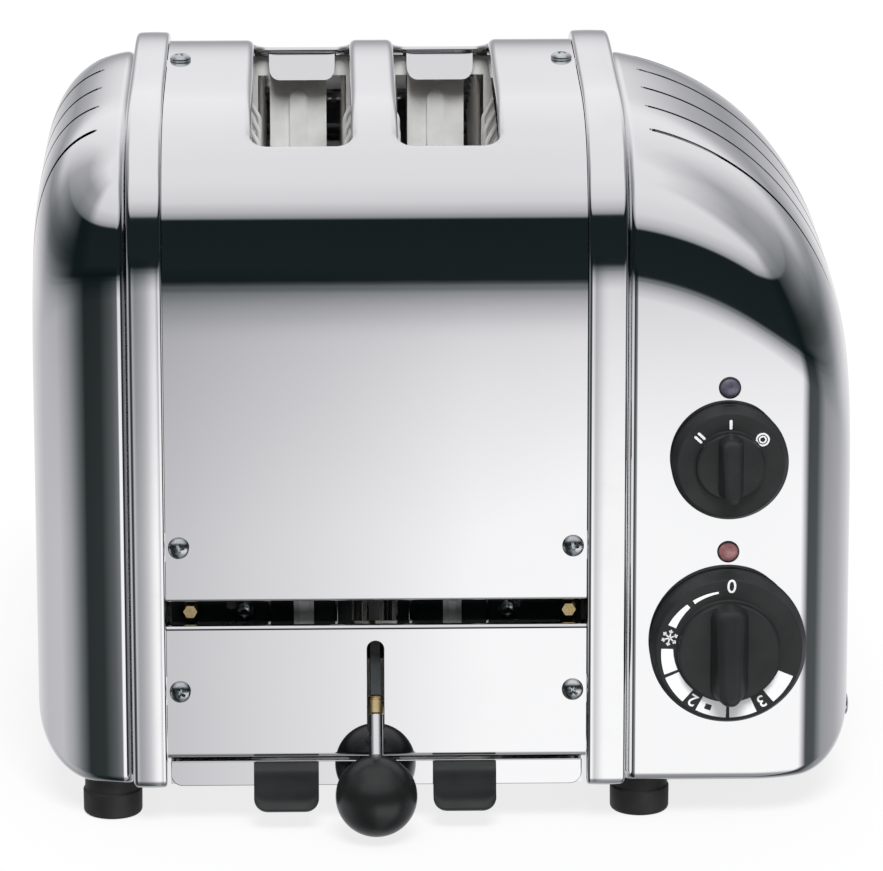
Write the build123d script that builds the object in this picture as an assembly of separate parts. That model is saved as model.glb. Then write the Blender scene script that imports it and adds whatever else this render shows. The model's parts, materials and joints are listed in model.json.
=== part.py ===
from build123d import *
import math
import os

os.makedirs("parts", exist_ok=True)

# Two-slice toaster, millimetres. +X to the right seen from the front, +Y to the
# rear, +Z up. The pieces are drawn about the middle plane of the body and saved
# moved to the rear by Y_OFF, with the resting surface at z = 0.

# ---------------------------------------------------------------- dimensions
SHEET = 0.9            # stainless sheet of the covers
B = 91.2               # half depth of the cover's front and rear faces
Z1 = 152.3             # height where the shoulder starts to curve
TOP = 217.5            # crown height of the cover
N_SH, M_SH = 5.0, 3.37 # shoulder curve exponents
XL, XR = -85.8, 42.8   # inner faces of the two end frames
FR_T = 10.6            # end frame thickness
FR_T_R = 12.0
FR_PROUD = 2.5         # end frames stand this far out of the cover
Z_BOT = 12.5           # underside of frames and end covers
X_END_R = 125.3        # outer faces of the two end covers
X_END_L = 126.3
SLOTS = ((-58.7, -28.3), (-14.2, 16.4))   # bread slots in X
SLOT_Y = 71.8          # half length of the slots
SLOT_R = 4.4           # slot corner radius
GAP_TOP, GAP_BOT = 71.8, 64.3   # vent gap between upper cover and lower panel
PANEL_BOT = 21.2       # lower edge of the lower panels
X_MID = -21.85         # middle plane of lever and carriage
LEVER_W = 5.4          # lever slot width
LEVER_Z0, LEVER_Z1 = 29.0, 59.3
SLIT_Y = (-54, -27, 0, 27, 54)
SLIT_W = 2.4
CAP_T = 1.2            # end cover wall
KN_X = 85.9            # dial column
TIMER_Z, SELECT_Z = 57.3, 115.6
LAMP_HI_Z, LAMP_LO_Z = 138.2, 86.5
CAP_B = 90.0           # half depth of the end covers
PLATE_Y = 75.0         # inner faces of the chamber plates
PIV_Y, PIV_Z = -50.0, 47.0      # lever pivot
ARM_IN = 70.0          # inner lever arm
ARM_UP = math.radians(11.0)
FOOT_X = (-103.2, 59.9)
FOOT_Y = 76.4
FOOT_R = 9.2
Y_OFF = 13.0           # moves the finished pieces so that the origin is under the
                       # middle of the whole, which reaches further forward


def save(name, shape):
    export_step(Pos(0, Y_OFF, 0) * shape, f"parts/{name}.step")


def group(items):
    out = []
    for i in items:
        out += list(i.solids())
    return Compound(children=out)


def box(x0, x1, y0, y1, z0, z1):
    return Pos((x0 + x1) / 2, (y0 + y1) / 2, (z0 + z1) / 2) * Box(x1 - x0, y1 - y0, z1 - z0)


def cyl_y(x, z, r, y0, y1):
    return Pos(x, (y0 + y1) / 2, z) * Rot(90, 0, 0) * Cylinder(r, y1 - y0)


def cyl_x(y, z, r, x0, x1):
    return Pos((x0 + x1) / 2, y, z) * Rot(0, 90, 0) * Cylinder(r, x1 - x0)


def cyl_z(x, y, r, z0, z1):
    return Pos(x, y, (z0 + z1) / 2) * Cylinder(r, z1 - z0)


# ---------------------------------------------------------------- shoulder profile
def quarter(b, z1, h, off, count=11):
    # front quarter of the shoulder, from the vertical face up to the crown
    dense = []
    steps = 1500
    for i in range(steps + 1):
        a = math.pi / 2 * i / steps
        c, s = max(math.cos(a), 0.0), math.sin(a)
        y, z = c ** (2 / N_SH), s ** (2 / M_SH)
        ny, nz = N_SH * y ** (N_SH - 1) / b, M_SH * z ** (M_SH - 1) / h
        k = math.hypot(ny, nz)
        dense.append((-b * y - off * ny / k, z1 + h * z + off * nz / k))
    length = [0.0]
    for p, q in zip(dense, dense[1:]):
        length.append(length[-1] + math.hypot(q[0] - p[0], q[1] - p[1]))
    out = []
    j = 0
    for i in range(count):
        want = length[-1] * i / (count - 1)
        while j < steps and length[j] < want - 1e-9:
            j += 1
        out.append(dense[j])
    out[0] = (-b - off, z1)
    out[-1] = (0.0, z1 + h + off)
    return out


def section(x, b=B, zb=Z_BOT, z1=Z1, h=TOP - Z1, off=0.0, count=11):
    q = quarter(b, z1, h, off, count)
    bo = b + off
    front = [(x, p[0], p[1]) for p in q]
    rear = [(x, -p[0], p[1]) for p in reversed(q)]
    return Wire([
        Line((x, -bo, zb), front[0]),
        Spline(front, tangents=[(0, 0, 1), (0, 1, 0)]),
        Spline(rear, tangents=[(0, 1, 0), (0, 0, -1)]),
        Line(rear[-1], (x, bo, zb)),
        Line((x, bo, zb), (x, -bo, zb)),
    ])


def prism(x0, x1, off=0.0, zb=Z_BOT):
    return extrude(Face(section(x0, zb=zb, off=off)), amount=x1 - x0, dir=(1, 0, 0))


def slot_tool(x0, x1, grow, z0=100.0, z1=230.0):
    s = RectangleRounded(x1 - x0 + 2 * grow, 2 * (SLOT_Y + grow), SLOT_R + grow)
    return Pos((x0 + x1) / 2, 0, z0) * extrude(s, amount=z1 - z0)


# ---------------------------------------------------------------- upper cover
g = 0.15  # gap left between sheet edges and the frames
outer = prism(XL + g, XR - g, 0.0, GAP_TOP)
inner = prism(XL - 1, XR + 1, -SHEET, GAP_TOP - 2)
cover = outer - inner
deep = prism(XL + g, XR - g, 0.0, 120) - prism(XL - 1, XR + 1, -7.0, 110)
for x0, x1 in SLOTS:
    cover = cover - slot_tool(x0, x1, 0)
    # turned-down lips, with relief notches at the ends of the tongues
    ring = slot_tool(x0, x1, SHEET) - slot_tool(x0, x1, 0)
    ring = ring & deep
    low = prism(XL - 1, XR + 1, -SHEET, 110)
    xm = (x0 + x1) / 2
    for s in (-1, 1):
        for t in (-1, 1):
            xa, xb = sorted((xm + s * 9.6, xm + s * (x1 - x0 + 4) / 2))
            ya, yb = sorted((t * (SLOT_Y - 2.5), t * (SLOT_Y + 3)))
            ring = ring - (box(xa, xb, ya, yb, 150, 225) & low)
    cover = cover + ring
for t in (-1, 1):
    ya, yb = sorted((t * (B - SHEET), t * (B - 5.0)))
    cover = cover + box(XL + g, XR - g, ya, yb, GAP_TOP, GAP_TOP + SHEET)
screw_x = (-81.6, 38.5)
screw_z = (89.1, 43.3)
for x in screw_x:
    for t in (-1, 1):
        ya, yb = sorted((t * (B - 2), t * (B + 2)))
        cover = cover - cyl_y(x, screw_z[0], 1.7, ya, yb)
    cover = cover - cyl_z(x, 18, 1.7, 212, 222)
save("upper_cover", cover)


# ---------------------------------------------------------------- lower panels
def lower_panel(t):
    ya, yb = sorted((t * B, t * (B - SHEET)))
    p = box(XL + g, XR - g, ya, yb, PANEL_BOT, GAP_BOT)
    ya, yb = sorted((t * B, t * (B - 4.0)))
    p = p + box(XL + g, XR - g, ya, yb, GAP_BOT - SHEET, GAP_BOT)
    p = p + box(XL + g, XR - g, ya, yb, PANEL_BOT, PANEL_BOT + SHEET)
    edges = [e for e in p.edges().filter_by(Axis.X)
             if abs(abs(e.center().Y) - B) < 0.01 and (abs(e.center().Z - GAP_BOT) < 0.01 or abs(e.center().Z - PANEL_BOT) < 0.01)]
    p = fillet(edges, 0.8)
    for x in screw_x:
        ya, yb = sorted((t * (B - 2), t * (B + 2)))
        p = p - cyl_y(x, screw_z[1], 1.7, ya, yb)
    return p


front = lower_panel(-1)
r = LEVER_W / 2
front = front - box(X_MID - r, X_MID + r, -B - 2, -B + 2, LEVER_Z0 + r, LEVER_Z1 - r)
front = front - cyl_y(X_MID, LEVER_Z0 + r, r, -B - 2, -B + 2) - cyl_y(X_MID, LEVER_Z1 - r, r, -B - 2, -B + 2)
save("lower_front_panel", front)
save("lower_rear_panel", lower_panel(1))


# ---------------------------------------------------------------- end frames
def end_frame(x_in, x_out):
    # cast aluminium arch: a rim around the profile and a web on its inner side
    lo, hi = sorted((x_in, x_out))
    rim = prism(lo, hi, FR_PROUD)
    rim = chamfer([e for e in rim.edges() if abs(e.center().X - x_out) < 0.01 and e.center().Z > Z_BOT + 1], 0.8)
    s = 1 if x_out > x_in else -1
    a, b = sorted((x_in + s * 2.2, x_out + s * 3))
    rim = rim - prism(a, b, -6.5, Z_BOT + 8)
    # window in the web for the element leads and warm air
    rim = rim - box(lo - 1, hi + 1, -45, 45, 34, 52)
    # lugs that the panel screws thread into
    lx0, lx1 = sorted((x_in, x_in - s * 8.2))
    for t in (-1, 1):
        ya, yb = sorted((t * (B - SHEET - 0.05), t * (B - 10.5)))
        for z in screw_z:
            lug = box(lx0, lx1, ya, yb, z - 4.5, z + 4.5)
            rim = rim + lug
    rim = rim + box(lx0, lx1, 13, 23, 205, TOP - SHEET - 0.12)
    sx = screw_x[0] if s < 0 else screw_x[1]
    for t in (-1, 1):
        ya, yb = sorted((t * (B + 1), t * (B - 8.5)))
        for z in screw_z:
            rim = rim - cyl_y(sx, z, 1.5, ya, yb)
    rim = rim - cyl_z(sx, 18, 1.5, 209.5, 222)
    return rim


save("end_frame_left", end_frame(XL, XL - FR_T))
save("end_frame_right", end_frame(XR, XR + FR_T_R))


# ---------------------------------------------------------------- end covers
def stations(x0, x1, z_t, z_c, xs, p, fil, r_low, h_end):
    # (x, half depth, underside, crown, shoulder height), from the frame outwards
    out = []
    full = x1 - x0
    cuts = [0.0, 0.025, 0.06, 0.2, 0.36, 0.5, 0.62, 0.72, 0.8, 0.865, 0.915, 0.955, 0.985, 1.0]
    for c in cuts:
        x = x0 + full * c
        t = min(max((x - xs) / (x1 - xs), 0.0), 1.0)
        zt = z_c + (z_t - z_c) * max(1 - t ** p, 0.0) ** (1 / p)
        edge = max(x - (x1 - fil), 0.0) / fil
        b = CAP_B - fil * (1 - math.sqrt(max(1 - edge ** 2, 0.0)))
        low = max(x - (x1 - r_low), 0.0) / r_low
        zb = Z_BOT + r_low * (1 - math.sqrt(max(1 - low ** 2, 0.0)))
        h = (TOP - Z1) * (1 - t ** 3) + h_end * t ** 3
        roll = 3.0 * max(1 - c / 0.06, 0.0) ** 2
        out.append((x, b - roll, zb, zt - roll, h))
    return out


def end_cover(side, st, slit_low, skip):
    outer = Solid.make_loft([section(side * x, b=b, zb=zb, z1=zt - h, h=h) for x, b, zb, zt, h in st], ruled=True)
    ins = []
    x_first, x_last = st[0][0], st[-1][0]
    ins.append((st[0][0] - 4, st[0][1] - CAP_T, st[0][2] + CAP_T, st[0][3] - CAP_T, st[0][4] - 0.4))
    for x, b, zb, zt, h in st:
        w = ((x - x_first) / (x_last - x_first)) ** 2
        ins.append((x - CAP_T * w, b - CAP_T, zb + CAP_T, zt - CAP_T, h - 0.4))
    inner = Solid.make_loft([section(side * x, b=b, zb=zb, z1=zt - h, h=h) for x, b, zb, zt, h in ins], ruled=True)
    shell = outer - inner
    x_start = x_first + skip
    for y in SLIT_Y:
        a, b = sorted((side * x_start, side * (x_last + 3)))
        shell = shell - box(a, b, y - SLIT_W / 2, y + SLIT_W / 2, slit_low, 225)
        shell = shell - cyl_z(side * x_start, y, SLIT_W / 2, 190, 225)
    # opening in the underside, closed by the bottom plate
    a, b = sorted((side * (x_first - 1), side * (x_last - 24)))
    shell = shell - box(a, b, -60, 60, 10, 16)
    return shell


GLAND_X = 79.0
cap_r = stations(XR + FR_T_R, X_END_R, 214.6, 130.4, 41.7, 2.03, 32.0, 17.3, 37.2)
cap_l = stations(-(XL - FR_T), X_END_L, 214.6, 163.3, 88.8, 2.9, 29.8, 18.8, 41.8)
right = end_cover(1, cap_r, 45.0, 9.8)
for x, z, r in ((KN_X, TIMER_Z, 4.2), (KN_X, SELECT_Z, 3.8), (KN_X, LAMP_HI_Z, 2.3), (KN_X, LAMP_LO_Z, 2.3)):
    right = right - cyl_y(x, z, r, -CAP_B - 3, -CAP_B + 4)
right = right - cyl_y(GLAND_X, 34, 6.05, CAP_B - 4, CAP_B + 3)
left = end_cover(-1, cap_l, 88.0, 11.2)
# cover screw hole low on the right end face, with a shallow seat for the head
right = right - cyl_x(-54.7, 26.6, 1.6, X_END_R - 8, X_END_R + 2)
right = right - cyl_x(-54.7, 26.6, 3.6, X_END_R - 0.45, X_END_R + 2)
for fx, is_right in ((FOOT_X[0], False), (FOOT_X[1], True)):
    for t in (-1, 1):
        hole = cyl_z(fx, t * FOOT_Y, 2.1, 10, 16)
        if is_right:
            right = right - hole
        else:
            left = left - hole
save("end_cover_right", right)
save("end_cover_left", left)


def bottom_plate(side, st):
    a, b = sorted((side * (st[0][0] + 0.3), side * (st[-1][0] - 21.5)))
    p = box(a, b, -66, 66, Z_BOT + CAP_T, Z_BOT + CAP_T + 1.2)
    for i in range(5):
        y = -40 + 20 * i
        p = p - box(a + 2.5, b - 4, y - 2, y + 2, 10, 20)
    return p


save("bottom_plate_right", bottom_plate(1, cap_r))
save("bottom_plate_left", bottom_plate(-1, cap_l))


# ---------------------------------------------------------------- screws
def pan_screw(r, h, shank_r, shank_l):
    # axis +Z, underside of the head at z = 0
    head = Cylinder(r, h, align=(Align.CENTER, Align.CENTER, Align.MIN))
    head = fillet(head.edges().filter_by(GeomType.CIRCLE).sort_by(Axis.Z)[-1], h * 0.7)
    for a in (0, 90):
        head = head - Pos(0, 0, h) * Rot(0, 0, a) * Box(r * 1.15, r * 0.26, h * 0.9)
    return head + Pos(0, 0, -shank_l) * Cylinder(shank_r, shank_l, align=(Align.CENTER, Align.CENTER, Align.MIN))


ps = pan_screw(3.3, 2.1, 1.4, 7.5)
items = []
for x in screw_x:
    for i, z in enumerate(screw_z):
        items.append(Pos(x, -B, z) * Rot(90, 0, 0) * Rot(0, 0, 17 + 31 * i) * ps)
        items.append(Pos(x, B, z) * Rot(-90, 0, 0) * Rot(0, 0, 40 + 23 * i) * ps)
save("panel_screws", group(items))
save("top_screws", group([Pos(x, 18, TOP) * Rot(0, 0, 20) * ps for x in screw_x]))

# its head lies in the shallow seat of the end face
cs = pan_screw(3.5, 1.4, 1.4, 6.0)
items = [Pos(X_END_R - 0.42, -54.7, 26.6) * Rot(0, 90, 0) * Rot(0, 0, 25) * cs]
save("end_cover_screws", group(items))


# ---------------------------------------------------------------- base and tray
base = box(XL + 0.4, XR - 0.4, -88, 88, 24.0, 25.0)
for a, b in ((SLOTS[0][0] - 2, -29.8), (-13.9, SLOTS[1][1] + 2)):
    base = base - box(a, b, -62, 62, 20, 30)
# guide rods of the carriage: a pair astride the lever arm, and one behind it
RODS = ((X_MID - 4.8, 2.0, 1.6), (X_MID + 4.8, 2.0, 1.6), (X_MID, 38.0, 2.0))
for x, y, rr in RODS:
    base = base - cyl_z(x, y, rr, 20, 30)
# short return flanges that stiffen the plate
for t in (-1, 1):
    ya, yb = sorted((t * 87.0, t * 88.0))
    base = base + box(XL + 0.4, XR - 0.4, ya, yb, 24.0, 29.0)
save("base_plate", base)

TX0, TX1 = -84.8, 41.4
tray = box(TX0, TX1, -88.5, 86.0, 13.4, 14.2)
tray = tray + box(TX0, TX1, -91.2, -90.3, 12.9, 20.9) + box(TX0, TX1, -90.6, -88.0, 13.4, 14.2)
tray = tray + box(TX0, TX1, 85.2, 86.0, 13.4, 18.5)
tray = tray + box(TX0, TX0 + 0.8, -90.8, 86.0, 13.4, 19.5) + box(TX1 - 0.8, TX1, -90.8, 86.0, 13.4, 19.5)
tray = fillet([e for e in tray.edges().filter_by(Axis.Y) if abs(e.center().Y + 90.75) < 0.1 and abs(e.center().Z - 12.9) < 0.05], 3.5)
grip_x = ((-59.3, -39.4), (-4.3, 15.0))
save("crumb_tray", tray)
grips = []
for x0, x1 in grip_x:
    xm, w = (x0 + x1) / 2, x1 - x0
    with BuildSketch(Plane.YZ) as sk:
        with BuildLine():
            Polyline((-91.25, 20.9), (-93.6, 20.9), (-95.6, 19.4), (-96.6, 15.0), (-96.6, 10.2), (-98.4, 8.1), (-97.6, 6.4), (-95.4, 7.0), (-93.8, 9.4), (-93.2, 12.9), (-91.25, 12.9), (-91.25, 20.9))
        make_face()
    gsol = Pos(x0, 0, 0) * extrude(sk.sketch, amount=w)
    gsol = gsol - (box(x0 - 1, x0 + 3.2, -100, -90, 5, 9.8) - cyl_y(x0 + 3.2, 9.8, 3.2, -101, -89))
    gsol = gsol - (box(x1 - 3.2, x1 + 1, -100, -90, 5, 9.8) - cyl_y(x1 - 3.2, 9.8, 3.2, -101, -89))
    grips.append(gsol)
save("tray_grips", group(grips))


# ---------------------------------------------------------------- toasting chambers
def chamber_plate(t):
    ya, yb = sorted((t * PLATE_Y, t * (PLATE_Y + 1.0)))
    p = box(-84.5, 41.5, ya, yb, 33.0, 206.4)
    for x0, x1 in SLOTS:
        xm = (x0 + x1) / 2
        # pressed rib with a round top on the slot side, in the middle of each slot
        ia, ib = sorted((t * (PLATE_Y - 1.4), t * PLATE_Y))
        xs = xm - 1.3
        p = p + box(xs - 2.75, xs + 2.75, ia, ib, 74, 192.8) + cyl_y(xs, 192.8, 2.75, ia, ib)
        # openings on both sides of the middle strip
        p = p - box(xs - 13.0, xs - 9.15, t * PLATE_Y - 3, t * PLATE_Y + 3, 88, 200.2)
        p = p - box(xs + 9.15, xs + 15.6, t * PLATE_Y - 3, t * PLATE_Y + 3, 88, 200.2)
    p = p - box(X_MID - 7, X_MID + 7, t * PLATE_Y - 3, t * PLATE_Y + 3, 30, 69)
    for x in (-66.0, 21.5):
        p = p - cyl_y(x, 66.5, 1.6, t * PLATE_Y - 3, t * PLATE_Y + 3)
    return p


save("chamber_plate_front", chamber_plate(-1))
save("chamber_plate_rear", chamber_plate(1))

boards = {"left": -67.0, "middle": -22.0, "right": 24.0}
winds = []
for name, x in boards.items():
    board = box(x - 0.5, x + 0.5, -PLATE_Y + 0.1, PLATE_Y - 0.1, 73.0, 195.0)
    for k in range(9):
        board = board - box(x - 1, x + 1, -PLATE_Y - 1, -PLATE_Y + 3.0, 82 + 13 * k, 84 + 13 * k)
    save(f"element_board_{name}", board)
    for side in (-1, 1):
        if (name == "left" and side < 0) or (name == "right" and side > 0):
            continue
        for k in range(13):
            z = 80 + 9 * k
            a, b = sorted((x + side * 0.5, x + side * 0.75))
            winds.append(box(a, b, -68, 68, z, z + 1.6))
save("element_windings", group(winds))


def guard_wires(x0, x1):
    out = []
    for s, xw in ((-1, x0 + 1.4), (1, x1 - 1.4)):
        for k in range(7):
            y = -57 + 19 * k
            path = FilletPolyline((xw, y, 74), (xw, y, 190), (xw + s * 3.6, y, 196.5), radius=4.0)
            out.append(sweep(Plane(origin=(xw, y, 74), z_dir=(0, 0, 1)) * Circle(0.8), path=path))
        # carrier strips behind the wires, held between the chamber plates
        a, b = sorted((xw + s * 0.8, xw + s * 1.8))
        out.append(box(a, b, -PLATE_Y + 0.1, PLATE_Y - 0.1, 75, 80))
        out.append(box(a, b, -PLATE_Y + 0.1, PLATE_Y - 0.1, 180, 184))
    return group(out)


save("guard_wires_left", guard_wires(*SLOTS[0]))
save("guard_wires_right", guard_wires(*SLOTS[1]))


# ---------------------------------------------------------------- bread carriage
RACK_Z = 103.0
for name, (x0, x1) in (("left", SLOTS[0]), ("right", SLOTS[1])):
    xm = (x0 + x1) / 2
    rack = box(xm - 0.8, xm + 0.8, -66, 66, RACK_Z - 12, RACK_Z - 2)
    for k in range(7):
        y = -57 + 19 * k
        arm = box(xm - 7.5, xm + 7.5, y - 1.0, y + 1.0, RACK_Z - 4, RACK_Z)
        arm = arm - (Pos(xm, y, RACK_Z + 5.6) * Rot(90, 0, 0) * Cylinder(8.0, 6))
        rack = rack + arm
    for y in (6.0, 34.0):
        rack = rack + box(xm - 0.8, xm + 0.8, y - 4, y + 4, 66.0, RACK_Z - 8)
    save(f"bread_rack_{name}", rack)

plate = box(-50.0, 6.0, -2.0, 42.0, 64.0, 66.0)
for x, y, rr in RODS:
    plate = plate - cyl_z(x, y, rr + 0.3, 60, 70)
# open slot that the lever arm rises through
plate = plate - box(X_MID - 2.2, X_MID + 2.2, -3.0, 24.5, 60, 70)
pin_y = PIV_Y + ARM_IN * math.cos(ARM_UP)
pin_z = PIV_Z + ARM_IN * math.sin(ARM_UP)
for s in (-1, 1):
    a, b = sorted((X_MID + s * 3.0, X_MID + s * 5.0))
    ear = box(a, b, pin_y - 7.5, pin_y + 7.5, pin_z - 4.8, 64.0)
    ear = ear - box(a - 1, b + 1, pin_y - 4.6, pin_y + 4.6, pin_z - 2.35, pin_z + 2.35)
    plate = plate + ear
save("carriage_plate", plate)
rods = []
for x, y, rr in RODS:
    rods.append(cyl_z(x, y, rr, 24.0, 70.5))
save("carriage_guide_rods", group(rods))

# ---------------------------------------------------------------- ejector lever
FER = (-91.2, 38.0)                 # where the rod's axis crosses the panel
BALL = (-107.2, 14.6)
d = math.hypot(BALL[0] - FER[0], BALL[1] - FER[1])
dy, dz = (BALL[0] - FER[0]) / d, (BALL[1] - FER[1]) / d
ang = math.degrees(math.atan2(dz, dy))


def along(s):
    return (FER[0] + dy * s, FER[1] + dz * s)


def rod(r, s0, s1):
    a, b = along(s0), along(s1)
    return Plane(origin=(X_MID, a[0], a[1]), z_dir=(0, dy, dz)) * extrude(Circle(r), amount=s1 - s0)


ferrule = rod(2.4, -3.0, 2.6)
save("lever_ferrule", ferrule)
save("lever_rod", rod(2.15, 2.6, d - 8.0))
ball = Pos(X_MID, BALL[0], BALL[1]) * Sphere(12.5)
ball = ball - rod(2.15, 0, d - 8.0)
save("ball_knob", ball)

hx0, hx1 = X_MID - 1.5, X_MID + 1.5
tip = along(-3.0)
nyy, nzz = -dz, dy                  # normal to the rod in the lever plane


def yz_poly(pts, x0, x1):
    wire = Polyline(*[(x0, p[0], p[1]) for p in pts], close=True)
    return extrude(Face(Wire(wire.edges())), amount=x1 - x0, dir=(1, 0, 0))


tab_a = (tip[0] + nyy * 3.2, tip[1] + nzz * 3.2)
tab_b = (tip[0] - nyy * 3.2, tip[1] - nzz * 3.2)
tab_c = (tab_b[0] - dy * 13, tab_b[1] - dz * 13)
arm_out = yz_poly([tab_a, (PIV_Y, PIV_Z - 5.0), (PIV_Y, PIV_Z + 5.0), tab_c, tab_b], hx0, hx1)
uy, uz = math.cos(ARM_UP), math.sin(ARM_UP)
arm_in = yz_poly([(PIV_Y - uz * 5, PIV_Z + uy * 5), (PIV_Y + uz * 5, PIV_Z - uy * 5), (pin_y + uz * 3.4, pin_z - uy * 3.4), (pin_y - uz * 3.4, pin_z + uy * 3.4)], hx0, hx1)
hub = cyl_x(PIV_Y, PIV_Z, 6.0, X_MID - 8, X_MID + 8)
arm = arm_out + arm_in + hub + cyl_x(pin_y, pin_z, 3.4, hx0, hx1)
arm = arm + cyl_x(pin_y, pin_z, 2.0, X_MID - 5.6, X_MID + 5.6)
arm = arm - cyl_x(PIV_Y, PIV_Z, 3.06, X_MID - 12, X_MID + 12)
save("lever_arm", arm)
save("pivot_shaft", cyl_x(PIV_Y, PIV_Z, 3.0, X_MID - 13, X_MID + 13))
br = []
for s in (-1, 1):
    a, b = sorted((X_MID + s * 10.0, X_MID + s * 11.6))
    p = box(a, b, PIV_Y - 8, PIV_Y + 8, 25.0, PIV_Z + 6) - cyl_x(PIV_Y, PIV_Z, 3.0, a - 1, b + 1)
    a2, b2 = sorted((X_MID + s * 10.0, X_MID + s * 5.0))
    p = p + box(a2, b2, PIV_Y - 8, PIV_Y + 8, 25.0, 26.6)
    br.append(p)
save("pivot_brackets", group(br))


# ---------------------------------------------------------------- dials, switches, lamps
def dial(z, r, skirt, boss_r, boss_h, bar_w, bar_l, bar_h, shaft_r):
    y0 = -CAP_B - 0.6
    k = cyl_y(KN_X, z, r, y0 - skirt, y0)
    k = chamfer(k.edges().filter_by(GeomType.CIRCLE).sort_by(Axis.Y)[0], 1.6)
    k = k + cyl_y(KN_X, z, boss_r, y0 - skirt - boss_h, y0 - skirt + 1)
    bar = box(KN_X - bar_w / 2, KN_X + bar_w / 2, y0 - skirt - boss_h - bar_h, y0 - skirt + 1, z - bar_l / 2, z + bar_l / 2)
    bar = fillet(bar.edges().filter_by(Axis.Y), bar_w * 0.3)
    k = k + bar
    return k - cyl_y(KN_X, z, shaft_r, y0 - skirt - 2, y0 + 1)


save("timer_knob", dial(TIMER_Z, 24.0, 7.0, 15.8, 3.0, 10.0, 30.0, 9.0, 3.0))
save("selector_knob", dial(SELECT_Z, 17.9, 6.0, 10.6, 2.6, 7.0, 24.0, 8.0, 2.5))
save("timer_shaft", cyl_y(KN_X, TIMER_Z, 3.0, -CAP_B - 9.6, -60.0))
save("selector_shaft", cyl_y(KN_X, SELECT_Z, 2.5, -CAP_B - 8.6, -66.0))
tb = box(KN_X - 21, KN_X + 21, -84.0, -54.0, TIMER_Z - 24, TIMER_Z + 20) + cyl_y(KN_X, TIMER_Z, 6.0, -88.4, -84.0)
tb = tb - cyl_y(KN_X, TIMER_Z, 3.08, -90, -59.5)
save("timer_body", tb)
sb = box(KN_X - 15, KN_X + 15, -83.0, -60.0, SELECT_Z - 15, SELECT_Z + 15) + cyl_y(KN_X, SELECT_Z, 5.5, -88.4, -83.0)
sb = sb - cyl_y(KN_X, SELECT_Z, 2.58, -90, -65.5)
save("selector_switch", sb)
lens = []
for z in (LAMP_HI_Z, LAMP_LO_Z):
    p = cyl_y(KN_X, z, 2.2, -CAP_B - 0.4, -80.0) + cyl_y(KN_X, z, 3.0, -CAP_B - 1.6, -CAP_B - 0.1)
    lens.append(fillet(p.edges().filter_by(GeomType.CIRCLE).sort_by(Axis.Y)[0], 0.9))
save("lamp_lens_upper", lens[0])
save("lamp_lens_lower", lens[1])
hold = []
for z in (LAMP_HI_Z, LAMP_LO_Z):
    hold.append(cyl_y(KN_X, z, 4.0, -88.6, -74.0) - cyl_y(KN_X, z, 2.25, -90, -79.5))
save("lamp_holders", group(hold))
term = box(KN_X - 14, KN_X + 14, 20, 38, Z_BOT + CAP_T + 1.2, 32)
for i in range(3):
    x = KN_X - 9 + 9 * i
    term = term - cyl_z(x, 29, 2.4, 26, 34)
save("terminal_block", term)
gl = cyl_y(GLAND_X, 34, 6.0, CAP_B - 8, CAP_B + 1) + cyl_y(GLAND_X, 34, 8.5, CAP_B - 0.0, CAP_B + 3.5) + cyl_y(GLAND_X, 34, 8.5, CAP_B - 4.5, CAP_B - 1.3)
gl = gl - cyl_y(GLAND_X, 34, 3.6, 60, 110)
save("cord_gland", gl)


# ---------------------------------------------------------------- feet and pillars
feet, fs = [], []
for x in FOOT_X:
    for t in (-1, 1):
        f = cyl_z(x, t * FOOT_Y, FOOT_R, 0, Z_BOT)
        f = fillet(f.edges().filter_by(GeomType.CIRCLE).sort_by(Axis.Z)[0], 1.6)
        f = f - cyl_z(x, t * FOOT_Y, 4.2, -1, 5.0) - cyl_z(x, t * FOOT_Y, 2.0, 4, 14)
        feet.append(f)
        fs.append(cyl_z(x, t * FOOT_Y, 3.6, 3.2, 5.0) + cyl_z(x, t * FOOT_Y, 1.9, 5.0, 17.5))
save("rubber_feet", group(feet))
save("foot_screws", group(fs))
pil = []
for x in (-78.4, 37.4):
    for t in (-1, 1):
        p = Pos(x, t * (PLATE_Y + 1.0 + 5.6), 67.6) * Rot(90, 0, 0) * extrude(RegularPolygon(2.15, 6), amount=5.6, both=True)
        pil.append(p)
save("brass_pillars", group(pil))
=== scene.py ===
import json
import math

import bmesh
import bpy
import numpy as np
from mathutils import Matrix, Vector
from mathutils.kdtree import KDTree


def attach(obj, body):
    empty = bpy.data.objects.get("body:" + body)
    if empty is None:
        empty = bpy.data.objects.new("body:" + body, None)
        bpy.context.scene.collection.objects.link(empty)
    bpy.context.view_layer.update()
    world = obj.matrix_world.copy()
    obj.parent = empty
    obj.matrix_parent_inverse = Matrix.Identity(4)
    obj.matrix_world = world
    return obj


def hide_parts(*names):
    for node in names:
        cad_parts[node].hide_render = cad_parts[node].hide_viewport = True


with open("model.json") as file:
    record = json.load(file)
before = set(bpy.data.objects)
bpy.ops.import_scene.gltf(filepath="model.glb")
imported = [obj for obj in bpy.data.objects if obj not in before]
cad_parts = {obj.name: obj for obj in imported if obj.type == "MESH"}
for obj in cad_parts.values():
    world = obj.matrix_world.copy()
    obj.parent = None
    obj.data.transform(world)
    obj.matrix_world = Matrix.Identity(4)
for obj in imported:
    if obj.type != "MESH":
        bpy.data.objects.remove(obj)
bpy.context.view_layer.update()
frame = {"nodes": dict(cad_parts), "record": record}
NODES = frame["nodes"]

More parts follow.
